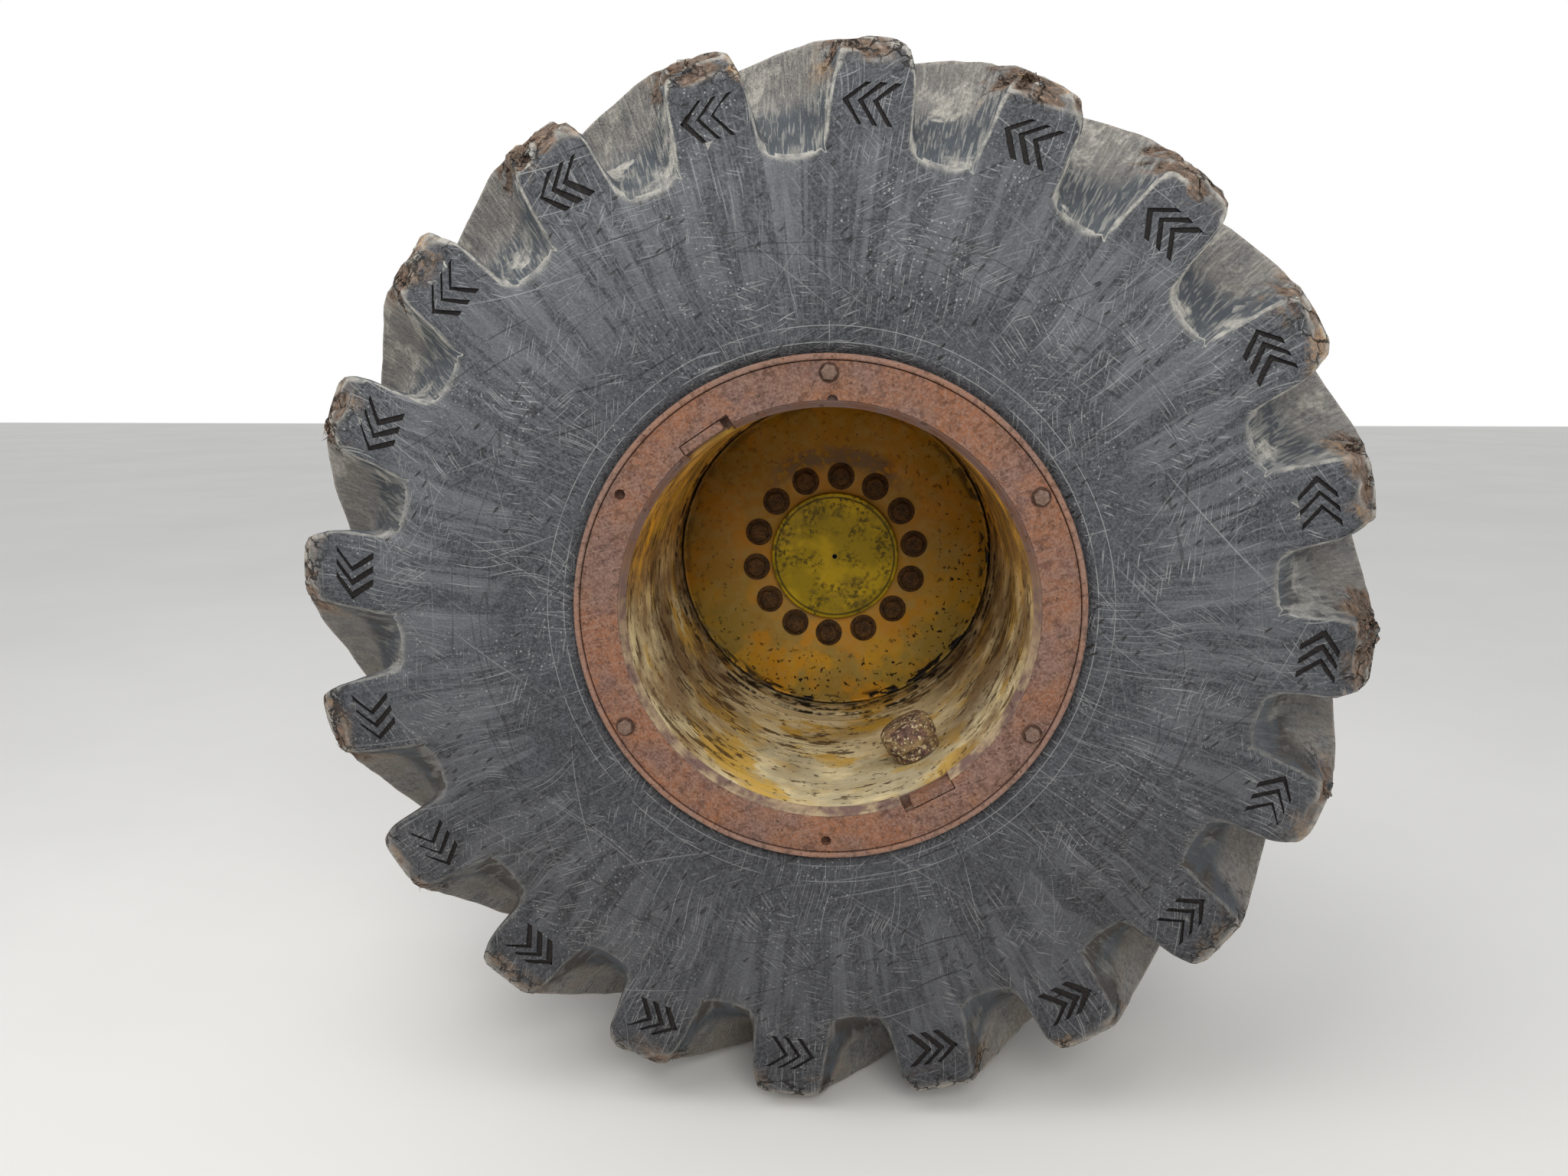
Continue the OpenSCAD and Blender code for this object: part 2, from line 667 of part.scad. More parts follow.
module seal_carrier()
    color("#80705a")
        on_axle()
            difference() {
                tube(neck_d / 2 + seal_gap, bearing_end_d / 2 - 4, carrier_front, housing_front);
                for (i = [0:carrier_bolt_count - 1]) at_clock(360 / carrier_bolt_count * i)
                    translate([carrier_pcd_r, 0, carrier_front - 1])
                        cylinder(r = carrier_bolt_r + seat_gap, h = carrier_t + 2);
            }

module carrier_bolts()
    color("#5c5248")
        on_axle()
            for (i = [0:carrier_bolt_count - 1]) at_clock(360 / carrier_bolt_count * i)
                translate([carrier_pcd_r, 0, carrier_front - carrier_head_h]) {
                    hexagon(carrier_head_af, carrier_head_h);
                    cylinder(r = carrier_bolt_r, h = carrier_head_h + carrier_t);
                }

tyre();
rim_base();
side_ring();
lock_ring();
guard_plate();
guard_washers();
guard_bolts();
driver_keys();
valve_stem();
valve_guard();
wheel_disc();
wheel_washers();
wheel_bolts();
axle_shaft();
axle_housing();
outer_bearing();
inner_bearing();
seal_carrier();
carrier_bolts();
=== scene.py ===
"""Looks of a forestry skidder's rear wheel with the axle end that carries it.

The frame gives every size and place. Depths are counted inboard from the outer face of the rim's lip,
and clock angles run clockwise from the top as seen from outside.
"""

import math
import random

import bpy
import numpy as np
from bpy.props import FloatProperty, FloatVectorProperty, IntProperty, PointerProperty
from mathutils import Matrix, Vector, noise


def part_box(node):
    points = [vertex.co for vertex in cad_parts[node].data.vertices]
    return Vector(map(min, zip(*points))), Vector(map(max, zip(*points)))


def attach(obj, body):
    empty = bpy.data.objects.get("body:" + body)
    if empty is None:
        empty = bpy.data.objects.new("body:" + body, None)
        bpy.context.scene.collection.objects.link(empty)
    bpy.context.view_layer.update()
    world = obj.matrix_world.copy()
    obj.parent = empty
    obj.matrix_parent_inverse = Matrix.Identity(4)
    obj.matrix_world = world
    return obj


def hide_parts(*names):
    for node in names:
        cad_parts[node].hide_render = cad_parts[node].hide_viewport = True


bl_info = {
    "name": "Skidder Rear Wheel",
    "version": (1, 0, 0),
    "blender": (4, 5, 0),
    "location": "View3D > Sidebar > Wheel",
    "description": "Models a forestry skidder's rear wheel and axle end around their packed frame",
    "category": "Object",
}

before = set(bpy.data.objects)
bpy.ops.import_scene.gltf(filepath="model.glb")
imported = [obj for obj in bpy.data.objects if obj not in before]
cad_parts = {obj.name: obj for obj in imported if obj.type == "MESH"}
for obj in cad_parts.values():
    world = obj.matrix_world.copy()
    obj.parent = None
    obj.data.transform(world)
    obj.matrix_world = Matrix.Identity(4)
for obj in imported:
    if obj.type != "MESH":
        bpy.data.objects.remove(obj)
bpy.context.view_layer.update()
MM = 0.001

# Places that the frame gives
LIP_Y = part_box("side_ring")[0].y
TYRE_LOW, TYRE_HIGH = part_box("tyre")
TYRE_R = (TYRE_HIGH.x - TYRE_LOW.x) / 2
TYRE_MID = (TYRE_LOW.y + TYRE_HIGH.y) / 2
TYRE_HALF = (TYRE_HIGH.y - TYRE_LOW.y) / 2
FLANGE_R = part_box("side_ring")[1].x
FLOOR_Z = TYRE_LOW.z


def place(radius, clock, depth):
    """A point of the wheel from its radius, clock angle and depth."""
    turn = math.radians(clock)
    return Vector((radius * math.sin(turn), LIP_Y + depth, radius * math.cos(turn)))


def smooth(low, high, values):
    """0 below low, 1 above high and an even rise between them."""
    t = np.clip((values - low) / (high - low), 0, 1)
    return t * t * (3 - 2 * t)


# Modelling


def deselect():
    """Leaves nothing selected, because an operator acts on all that is."""
    if bpy.context.object and bpy.context.object.mode != "OBJECT":
        bpy.ops.object.mode_set(mode="OBJECT")
    bpy.ops.object.select_all(action="DESELECT")


def select_only(piece):
    deselect()
    piece.select_set(True)
    bpy.context.view_layer.objects.active = piece
    return piece


def settle(name):
    """Names the active piece and puts its place into its mesh."""
    piece = bpy.context.object
    bpy.ops.object.mode_set(mode="OBJECT")
    bpy.ops.object.transform_apply(location=True, rotation=True, scale=True)
    piece.name = piece.data.name = name
    return piece


def trace(points, closed=True):
    """Extrudes one vertex from point to point, and leaves the outline in edit mode."""
    deselect()
    bpy.ops.mesh.primitive_plane_add(size=0.001, location=points[0])
    bpy.ops.object.transform_apply(location=True)
    bpy.ops.object.mode_set(mode="EDIT")
    bpy.ops.mesh.select_all(action="SELECT")
    bpy.ops.mesh.merge(type="CENTER")
    for start, end in zip(points, points[1:]):
        bpy.ops.mesh.extrude_region_move(TRANSFORM_OT_translate={"value": Vector(end) - Vector(start)})
    if closed:
        bpy.ops.mesh.select_all(action="DESELECT")
        bpy.ops.object.mode_set(mode="OBJECT")
        mesh = bpy.context.object.data
        joined = [v for edge in mesh.edges for v in edge.vertices]
        for vertex in mesh.vertices:
            vertex.select = joined.count(vertex.index) == 1
        bpy.ops.object.mode_set(mode="EDIT")
        bpy.ops.mesh.edge_face_add()
    bpy.ops.mesh.select_all(action="SELECT")


def turned(name, profile, steps=128, closed=True, front=LIP_Y):
    """Spins a profile of radius and depth, in millimetres, round the axle. An open one ends on it twice."""
    trace([Vector((0, front + d * MM, r * MM)) for r, d in profile], closed)
    bpy.ops.mesh.spin(steps=steps, angle=math.tau, center=(0, 0, 0), axis=(0, 1, 0), use_auto_merge=True)
    bpy.ops.mesh.select_all(action="SELECT")
    bpy.ops.mesh.remove_doubles(threshold=1e-5)
    bpy.ops.mesh.normals_make_consistent(inside=False)
    return settle(name)


def solid(name, profile, steps=48, closed=False):
    """A turned piece with its seat at the origin, to be placed later."""
    return turned(name, profile, steps, closed, front=0.0)


def finish_with(piece, kind, **settings):
    """Adds a modifier and applies it."""
    select_only(piece)
    modifier = piece.modifiers.new(kind.title(), kind)
    for name, value in settings.items():
        setattr(modifier, name, value)
    bpy.ops.object.modifier_apply(modifier=modifier.name)
    return piece


def shade(piece, angle=35.0):
    select_only(piece)
    bpy.ops.object.shade_smooth_by_angle(angle=math.radians(angle))
    return piece


def join(name, pieces):
    """Makes one piece of several."""
    deselect()
    for piece in pieces:
        piece.select_set(True)
    bpy.context.view_layer.objects.active = pieces[0]
    bpy.ops.object.join()
    return settle(name)


def dress(piece, material, slot, body, *nodes):
    """Gives a finished piece its material and its body, and hides the nodes of the frame that it stands
    for. Its slot is not used.
    """
    piece.data.materials.clear()
    piece.data.materials.append(material)
    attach(piece, body)
    if nodes:
        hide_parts(*nodes)
    return piece


# Materials


def linear(code):
    """A linear colour from an sRGB hex value."""
    parts = [int(code[i : i + 2], 16) / 255 for i in (1, 3, 5)]
    return [c / 12.92 if c <= 0.04045 else ((c + 0.055) / 1.055) ** 2.4 for c in parts] + [1.0]


def fill(tree, socket, value):
    """Links a socket to another, or sets its value."""
    if isinstance(value, bpy.types.NodeSocket):
        tree.links.new(value, socket)
    else:
        socket.default_value = value


def add_node(tree, kind, inputs=None, **settings):
    """Adds a node, sets its properties and fills or links its sockets."""
    node = tree.nodes.new(kind)
    for name, value in settings.items():
        setattr(node, name, value)
    for name, value in (inputs or {}).items():
        fill(tree, node.inputs[name], value)
    return node


def new_material(name):
    """An empty material, its nodes, and the place on the piece that its patterns read."""
    material = bpy.data.materials.new(name)
    material.use_nodes = True
    tree = material.node_tree
    tree.nodes.clear()
    return material, tree, add_node(tree, "ShaderNodeTexCoord").outputs["Object"]


# Tyre

LUGS = 20
PITCH = 360 / LUGS
LUG_PHASE = 4.8
# The near half of the tread and the far one, whose lugs stand half a pitch further round
SIDES = ((1, LUG_PHASE), (-1, LUG_PHASE + PITCH / 2))
LUG_SWEEP = 20.5
ROOT_R = TYRE_R / MM - 215
SHOULDER_U = TYRE_HALF / MM - 46
FLOOR_R = TYRE_R / MM - 70
HALF_W = TYRE_HALF / MM
FLANGE = FLANGE_R / MM
BEAD_R = 407.3
BEAD_U = 342.7
TOE_U = BEAD_U - 43

# Rows of the sidewall: radius and distance from the middle plane, in millimetres
SIDEWALL = [
    (BEAD_R - 4, TOE_U),
    (BEAD_R, BEAD_U),
    (FLANGE + 1.5, BEAD_U),
    (FLANGE + 9, BEAD_U + 21),
    (FLANGE + 50, HALF_W - 16),
    (FLANGE + 131, HALF_W - 2),
    (FLANGE + 200, HALF_W),
    (FLANGE + 262, HALF_W - 8),
]
# Rows of the liner inside the tyre, from one toe over the crown to the other
LINER = [
    (BEAD_R + 10, TOE_U - 8), (600, HALF_W - 46), (800, 240), (800, -240), (600, 46 - HALF_W),
    (BEAD_R + 10, 8 - TOE_U),
]
# Rows of the tread: radius and distance of the lug's top, of its foot and of the groove's floor, then the
# angles of the counter-clockwise foot and top edge and of the clockwise top edge and foot
TREAD = [
    (
        (ROOT_R - 22, HALF_W - 15), (ROOT_R - 22, HALF_W - 15), (ROOT_R - 22, HALF_W - 15),
        (-5.9, -2.8, 2.6, 5.4),
    ),
    (
        (ROOT_R + 16, HALF_W - 24), (ROOT_R + 9, HALF_W - 28), (ROOT_R + 1, HALF_W - 29),
        (-6.5, -5.1, 4.4, 5.5),
    ),
    (
        (ROOT_R + 84, HALF_W - 29), (ROOT_R + 31, HALF_W - 50), (ROOT_R + 23, HALF_W - 52),
        (-6.4, -4.9, 4.3, 5.5),
    ),
    (
        (ROOT_R + 146, HALF_W - 36), (ROOT_R + 55, HALF_W - 80), (ROOT_R + 47, HALF_W - 83),
        (-6.1, -4.5, 4.1, 5.3),
    ),
    ((ROOT_R + 187, HALF_W - 53), (ROOT_R + 75, 278), (ROOT_R + 67, 275), (-5.8, -3.8, 3.6, 5.1)),
    ((ROOT_R + 205, 302), (ROOT_R + 95, 250), (ROOT_R + 87, 247), (-5.4, -3.2, 3.2, 4.9)),
    ((ROOT_R + 211, 250), (ROOT_R + 118, 212), (ROOT_R + 110, 210), (-4.9, -2.9, 2.9, 4.6)),
    ((ROOT_R + 214, 165), (FLOOR_R + 4, 150), (FLOOR_R - 4, 150), (-4.4, -2.8, 2.8, 4.4)),
    ((ROOT_R + 215, 70), (FLOOR_R + 8, 75), (FLOOR_R, 118), (-4.4, -2.8, 2.8, 4.4)),
    ((ROOT_R + 214, -34), (FLOOR_R + 4, 8), (FLOOR_R, 84), (-3.7, -1.8, 1.8, 3.7)),
]
# The line on the floor where the two halves meet, round the nose of a near lug: distance and angle
NEAR_NOSE = [(0, -4.5), (-36, -3.1), (-60, -1.7), (-66, 0), (-60, 1.7), (-36, 3.1)]
MEETING = NEAR_NOSE + [(-u, angle + PITCH / 2) for u, angle in NEAR_NOSE]
# Where each column of a near lug and of a far lug comes to that line
NEAR_ENDS = (0, 1, 2, 3, 4, 5, 6, 8, 10)
FAR_ENDS = (6, 7, 8, 9, 10, 11, 12, 14, 16)
WALL_COLUMNS = 3 * LUGS
TREAD_COLUMNS = len(NEAR_ENDS) * LUGS
# Creases: how far subdivision leaves the edges of the grooves and of the lugs sharp
GROOVE_EDGE, LUG_EDGE, TIP_EDGE = 0.36, 0.33, 0.15


def sweep(u):
    """How far a lug has run round at a distance from the middle plane, in degrees."""
    t = np.maximum(0, (SHOULDER_U - u) / SHOULDER_U)
    return LUG_SWEEP * (0.25 * t + 0.75 * t**1.6)


def tyre_point(radius, u, clock, side):
    point = place(radius * MM, clock, 0)
    point.y = TYRE_MID - side * u * MM
    return point


def tread_columns(row):
    """The nine columns of a tread row for one pitch: radius, distance and angle before the sweep."""
    top, foot, floor, angles = row
    flank = [(a + b) / 2 for a, b in zip(top, foot)]
    left = 0.35 * angles[0] + 0.65 * angles[1]
    right = 0.35 * angles[3] + 0.65 * angles[2]
    return [
        (*foot, angles[0]),
        (*flank, left),
        (*top, angles[1]),
        (*top, (angles[1] + angles[2]) / 2),
        (*top, angles[2]),
        (*flank, right),
        (*foot, angles[3]),
        (*floor, PITCH / 2 - 1.5),
        (*floor, PITCH / 2 + 1.5),
    ]


def tyre_net():
    """The points, faces and creased edges that subdivision rounds into the tyre."""
    points, faces, creases = [], [], {}

    def add_row(items, side):
        start = len(points)
        points.extend(tyre_point(r, u, clock, side) for r, u, clock in items)
        return start

    def strip(a, b, columns, side):
        for i in range(columns):
            j = (i + 1) % columns
            faces.append([a + i, b + i, b + j, a + j][::-side])

    walls, treads = {}, {}
    wall_clocks = [LUG_PHASE + (2 * i - 1.3) * PITCH / 6 for i in range(WALL_COLUMNS)]
    for side, phase in SIDES:
        turn = phase - LUG_PHASE
        walls[side] = [add_row([(r, u, clock + turn) for clock in wall_clocks], side) for r, u in SIDEWALL]
        treads[side] = [
            add_row(
                [
                    (r, u, phase + i * PITCH + a - sweep(u))
                    for i in range(LUGS)
                    for r, u, a in tread_columns(row)
                ],
                side,
            )
            for row in TREAD
        ]
        for a, b in zip(walls[side], walls[side][1:]):
            strip(a, b, WALL_COLUMNS, side)
        for i in range(WALL_COLUMNS):
            low, low_next = walls[side][-1] + i, walls[side][-1] + (i + 1) % WALL_COLUMNS
            high = [treads[side][0] + (3 * i + n) % TREAD_COLUMNS for n in range(4)]
            for face in (
                [low, high[0], high[1]], [low, high[1], high[2], low_next], [low_next, high[2], high[3]]
            ):
                faces.append(face[::-side])
        for a, b in zip(treads[side], treads[side][1:]):
            strip(a, b, TREAD_COLUMNS, side)
        for i in range(LUGS):
            base = i * len(NEAR_ENDS)
            for column in range(5, 10):
                start, end = (treads[side][1] + (base + c) % TREAD_COLUMNS for c in (column, column + 1))
                creases[start, end] = GROOVE_EDGE
            for column in (2, 4):
                for low, high in zip(treads[side][1:], treads[side][2:]):
                    creases[low + base + column, high + base + column] = LUG_EDGE
            for column in (2, 3):
                creases[treads[side][4] + base + column, treads[side][4] + base + column + 1] = TIP_EDGE

    middle = add_row(
        [(FLOOR_R, u, LUG_PHASE + i * PITCH + a - LUG_SWEEP) for i in range(LUGS) for u, a in MEETING],
        1,
    )
    for side, ends in ((1, NEAR_ENDS), (-1, FAR_ENDS)):
        for i in range(LUGS):
            stops = [i * len(MEETING) + end for end in (*ends, ends[0] + len(MEETING))]
            for column in range(len(ends)):
                last = treads[side][-1] + i * len(ends) + column
                after = treads[side][-1] + (i * len(ends) + column + 1) % TREAD_COLUMNS
                line = [
                    middle + n % (LUGS * len(MEETING)) for n in range(stops[column], stops[column + 1] + 1)
                ]
                faces.append([last, *line, after][::-side])

    liner = [add_row([(r, u, clock) for clock in wall_clocks], 1) for r, u in LINER]
    liner = [walls[1][0], *liner]
    for a, b in zip(liner, liner[1:]):
        strip(b, a, WALL_COLUMNS, 1)
    # The far toe has its columns half a pitch further round, one and a half columns
    far_toe = walls[-1][0]
    for i in range(WALL_COLUMNS):
        j = (i + 1) % WALL_COLUMNS
        faces.append([far_toe + (i - 1) % WALL_COLUMNS, far_toe + i, liner[-1] + j, liner[-1] + i])
    return points, faces, creases


# A chevron's outline, and where the three stand on each lug
CHEVRON = [(0, 0), (35, 30), (45.5, 30), (10.5, 0), (37.5, -39), (27, -39)]
CHEVRON_STEP = 24
CHEVRON_R = 843
CHEVRON_DEPTH = 5
CHEVRON_CLOCK = -0.4
SIDE_SLOPE = math.radians(5.4)


def chevron_cutter(face_y):
    """The chevrons of every lug, as one set of closed solids that stand through the lugs' side faces."""
    cutters = []
    for n in range(3):
        left = (n - 1) * CHEVRON_STEP - 23
        trace([((left + t) * MM, 0, s * MM) for t, s in CHEVRON])
        bpy.ops.mesh.edge_face_add()
        bpy.ops.mesh.extrude_region_move(TRANSFORM_OT_translate={"value": (0, -0.02, 0)})
        bpy.ops.mesh.select_all(action="SELECT")
        bpy.ops.mesh.normals_make_consistent(inside=False)
        cutters.append(settle("chevron"))
    model = join("chevrons", cutters)
    # The cut hands this mask on to the bottoms of the chevrons, and to nothing else; the rubber paints them
    # near black as painted shade
    paint(model.data, "chevron", np.ones(len(model.data.vertices)))
    stand = Matrix.Translation((0, face_y + CHEVRON_DEPTH * MM, CHEVRON_R * MM))
    stand = stand @ Matrix.Rotation(-SIDE_SLOPE, 4, "X")
    copies = []
    for side, phase in SIDES:
        for i in range(LUGS):
            copy = copy_of(model, stand)
            if side < 0:
                copy.data.transform(
                    Matrix.Translation((0, 2 * TYRE_MID, 0)) @ Matrix.Scale(-1, 4, (0, 1, 0))
                )
                copy.data.flip_normals()
            copy.data.transform(Matrix.Rotation(math.radians(phase + i * PITCH + CHEVRON_CLOCK), 4, "Y"))
            copies.append(copy)
    bpy.data.objects.remove(model)
    return join("chevrons", copies)


def tyre_piece():
    """The tyre's net, rounded by subdivision, with its chevrons cut and its worst tears bitten out."""
    points, faces, creases = tyre_net()
    mesh = bpy.data.meshes.new("tyre_worn")
    mesh.from_pydata(points, [], faces)
    edges = {tuple(sorted(e.vertices)): e.index for e in mesh.edges}
    sharp = mesh.attributes.new("crease_edge", "FLOAT", "EDGE")
    for pair, value in creases.items():
        sharp.data[edges[tuple(sorted(pair))]].value = value
    tyre = bpy.data.objects.new("tyre_worn", mesh)
    bpy.context.collection.objects.link(tyre)
    finish_with(tyre, "SUBSURF", levels=2, render_levels=2)
    paint(tyre.data, "chevron", np.zeros(len(tyre.data.vertices)))
    start = place(CHEVRON_R * MM, LUG_PHASE, -1000 * MM)
    _, spot, _, _ = tyre.ray_cast(start, (0, 1, 0))
    return cut(tyre, chevron_cutter(spot.y), gouge_cutter())


# Wear of the tyre

# Lugs of the near side whose tips are torn: clock angle of the lug and how far the wear goes, 0 to 1
TORN_LUGS = [
    (5, 0.45), (23, 0.8), (41, 0.8), (59, 0.35), (77, 0.5), (95, 1.0), (113, 0.3), (131, 0.15), (149, 0.2),
    (203, 0.35), (239, 0.3), (257, 0.45), (275, 0.45), (293, 0.6), (311, 0.7), (329, 0.9), (347, 0.8),
]


def lug_places(co):
    """Radius, clock angle, distance from the middle plane and angle from the nearest lug of each vertex."""
    r = np.hypot(co[:, 0], co[:, 2]) / MM
    clock = np.degrees(np.arctan2(co[:, 0], co[:, 2])) % 360
    u = (TYRE_MID - co[:, 1]) / MM
    phase = LUG_PHASE + np.where(u < 0, PITCH / 2, 0) - sweep(np.abs(u))
    off = (clock - phase + PITCH / 2) % PITCH - PITCH / 2
    return r, clock, u, off


def lug_wear(r, clock, u, off):
    """How torn each vertex is, from the list of torn lugs on the near side and less all round elsewhere."""
    home = (clock - off) % 360
    torn = np.full(len(r), 0.12)
    for lug, depth in TORN_LUGS:
        apart = np.abs((home + sweep(np.abs(u)) - lug + 180) % 360 - 180)
        torn = np.where((apart < PITCH / 2) & (u > 0), depth, torn)
    return torn


def noise_at(co, scale, seed):
    """Smooth noise from -1 to 1 at each vertex, with scale waves to a metre."""
    shift = Vector((seed * 7.1, seed * 3.3, seed * 5.7))
    return np.array([noise.noise(Vector(p) * scale + shift) for p in co])


def vertex_table(mesh):
    co = np.empty(len(mesh.vertices) * 3)
    normal = np.empty(len(mesh.vertices) * 3)
    mesh.vertices.foreach_get("co", co)
    mesh.vertices.foreach_get("normal", normal)
    return co.reshape(-1, 3), normal.reshape(-1, 3)


def paint(mesh, name, values):
    """Writes a mask that the materials read."""
    layer = mesh.attributes.get(name) or mesh.attributes.new(name, "FLOAT", "POINT")
    layer.data.foreach_set("value", np.ascontiguousarray(values, np.float32))


def wear_tyre(tyre, wear):
    """Dents, rounds and tears the lugs, and writes the masks for dust, pale edges, tips and torn rubber.
    Radii and distances from the middle plane are in millimetres."""
    mesh = tyre.data
    co, normal = vertex_table(mesh)
    r, clock, u, off = lug_places(co)
    torn = lug_wear(r, clock, u, off)
    outside = r > BEAD_R + 60
    lug = smooth(760, 850, r) * outside
    tip = smooth(884, 948, r) * smooth(215, 300, np.abs(u))
    slow, middle, fine = (noise_at(co, scale, seed) for scale, seed in ((9, 1), (26, 2), (70, 3)))
    ragged = np.abs(middle) + 0.5 * np.abs(fine)
    leading = smooth(3.4, -2.2, off)
    push = lug * (4.0 * slow + 2.0 * middle) + outside * (1.2 * slow) * smooth(480, 560, r)
    bite = tip * torn * (0.35 + 0.65 * leading)
    push -= wear * bite * (4 + 24 * smooth(0.15, 0.75, ragged))
    push += lug * torn * 2.2 * fine
    co = co + normal * (push * MM)[:, None]
    round_off = tip * (2 + 8 * torn) * wear * smooth(-0.3, 0.6, slow)
    radius = np.hypot(co[:, 0], co[:, 2])
    keep = (radius - round_off * MM) / radius
    co[:, 0] *= keep
    co[:, 2] *= keep
    low, high = np.array(TYRE_LOW), np.array(TYRE_HIGH)
    co[:, 1] = np.clip(co[:, 1], low[1] - 2 * MM, high[1] + 2 * MM)
    mesh.vertices.foreach_set("co", co.ravel())
    mesh.update()
    _, normal = vertex_table(mesh)
    facing = np.where(u > 0, -normal[:, 1], normal[:, 1])
    # The chevrons' own corners lie in the lug's side face, so they count as facing out
    on_face = (r > 785) & (r < 893) & (np.abs(off) < 3.9) & (facing > 0.2)
    # The grooves' floors slope outwards, and still count as inside
    on_floor = (r > 768) & ((np.abs(off) > 5.6) | (np.abs(u) < 292))
    paint(mesh, "facing", np.where(on_face, 1.0, np.where(on_floor, 0.0, facing)))
    paint(mesh, "torn", np.clip(bite * 1.6 * smooth(0.1, 0.5, ragged), 0, 1))
    top = smooth(
        0.3, 0.8, (normal[:, 0] * co[:, 0] + normal[:, 2] * co[:, 2]) / np.hypot(co[:, 0], co[:, 2])
    )
    swept_part = smooth(300, 268, np.abs(u)) * smooth(835, 885, r)
    paint(mesh, "crown", np.maximum(top * smooth(890, 925, r), 0.45 * swept_part))
    paint(mesh, "tip", smooth(868, 925, r) * smooth(230, 290, np.abs(u)))


# Torn rubber


# Holes torn in the near lugs: clock angle, radius and depth of the middle, length and width
GOUGES = [
    (97.5, 905, 16, 30, 15), (92.0, 944, 40, 24, 16), (322.5, 884, 10, 36, 15), (325.5, 925, 22, 26, 15),
    (20.5, 946, 34, 32, 14), (36.8, 938, 22, 22, 11), (343.6, 948, 38, 28, 13), (76.0, 955, 40, 24, 12),
    (306.8, 950, 42, 26, 13), (108.8, 952, 50, 22, 12), (1.6, 946, 26, 14, 9), (289.0, 948, 40, 20, 12),
    (199.0, 948, 30, 20, 10), (253.0, 952, 44, 20, 10),
]


def gouge_cutter():
    """Ragged lumps that bite holes out of the tips of the worst torn lugs."""
    lumps = []
    for n, (clock, radius, depth, length, width) in enumerate(GOUGES):
        deselect()
        bpy.ops.mesh.primitive_ico_sphere_add(subdivisions=4, radius=1, location=(0, 0, 0))
        lump = bpy.context.object
        co, _ = vertex_table(lump.data)
        ragged = 1 + 0.22 * noise_at(co, 2.2, n) + 0.12 * noise_at(co, 6.0, n + 30)
        co = co * ragged[:, None] * np.array([length, width, width]) * MM
        lump.data.vertices.foreach_set("co", co.ravel())
        skew = math.radians(20 * n % 70 - 35)
        turn = Matrix.Rotation(math.radians(clock), 4, "Y") @ Matrix.Rotation(skew, 4, "Y")
        lump.data.transform(Matrix.Translation(place(radius * MM, clock, depth * MM)) @ turn)
        lumps.append(lump)
    return join("gouges", lumps)


# Fibres hang only this far out from the middle plane, in metres, and where the rubber is this torn
FIBRE_FROM, FIBRE_TORN = 0.2, 0.25


def torn_places(tyre, count, seed):
    """Places and normals on the torn lug tips, drawn at random with more where they are more torn."""
    mesh = tyre.data
    co, normal = vertex_table(mesh)
    torn = np.empty(len(co), np.float32)
    mesh.attributes["torn"].data.foreach_get("value", torn)
    near = (co[:, 1] < TYRE_MID - FIBRE_FROM) & (torn > FIBRE_TORN)
    index = np.nonzero(near)[0]
    weight = torn[index].astype(float) ** 2
    pick = np.random.default_rng(seed).choice(index, count, p=weight / weight.sum())
    return co[pick], normal[pick]


def fibre_piece(tyre, count):
    """Tapered strands of torn rubber and ply, each a bent three-sided spike rooted in the tyre."""
    draw = random.Random(41)
    spots, normals = torn_places(tyre, count, 41)
    points, faces = [], []
    for spot, normal in zip(spots, normals):
        spot, out = Vector(spot), Vector(normal)
        radial = Vector((spot.x, 0, spot.z)).normalized()
        along = radial.cross(Vector((0, 1, 0)))
        lean = along * draw.uniform(-1.1, 1.1) + Vector((0, draw.uniform(-0.9, 0.3), 0))
        lean = lean - radial * draw.uniform(-0.1, 0.8)
        heading = (out * 0.22 + lean).normalized()
        length = draw.uniform(5, 18) * MM * (1.6 if draw.random() < 0.08 else 1.0)
        thick = draw.uniform(0.5, 1.6) * MM
        bend = Vector((draw.uniform(-1, 1), draw.uniform(-1, 1), draw.uniform(-1, 1))) * 0.5
        side = heading.cross(Vector((0.3, 0.8, 0.5))).normalized()
        other = heading.cross(side)
        start = len(points)
        centre = spot - out * 2.5 * MM
        for step in range(4):
            share = step / 4
            width = thick * (1 - share) ** 0.7
            for k in range(3):
                angle = math.tau * k / 3
                flat = 0.45 if k else 1.0
                points.append(centre + (side * math.cos(angle) + other * math.sin(angle) * flat) * width)
            centre = centre + (heading + bend * share).normalized() * length / 4
        points.append(centre)
        faces.append([start + 2, start + 1, start])
        for step in range(3):
            row = start + 3 * step
            for k in range(3):
                faces.append([row + k, row + (k + 1) % 3, row + 3 + (k + 1) % 3, row + 3 + k])
        for k in range(3):
            faces.append([start + 9 + k, start + 9 + (k + 1) % 3, start + 12])
    limit = TYRE_R - MM
    for point in points:
        reach = math.hypot(point.x, point.z)
        if reach > limit:
            point.x *= limit / reach
            point.z *= limit / reach
        point.y = max(point.y, TYRE_LOW.y + MM)
    mesh = bpy.data.meshes.new("torn_fibres")
    mesh.from_pydata(points, [], faces)
    piece = bpy.data.objects.new("torn_fibres", mesh)
    bpy.context.collection.objects.link(piece)
    select_only(piece)
    bpy.ops.object.mode_set(mode="EDIT")
    bpy.ops.mesh.select_all(action="SELECT")
    bpy.ops.mesh.normals_make_consistent(inside=False)
    return settle("torn_fibres")


# Rim

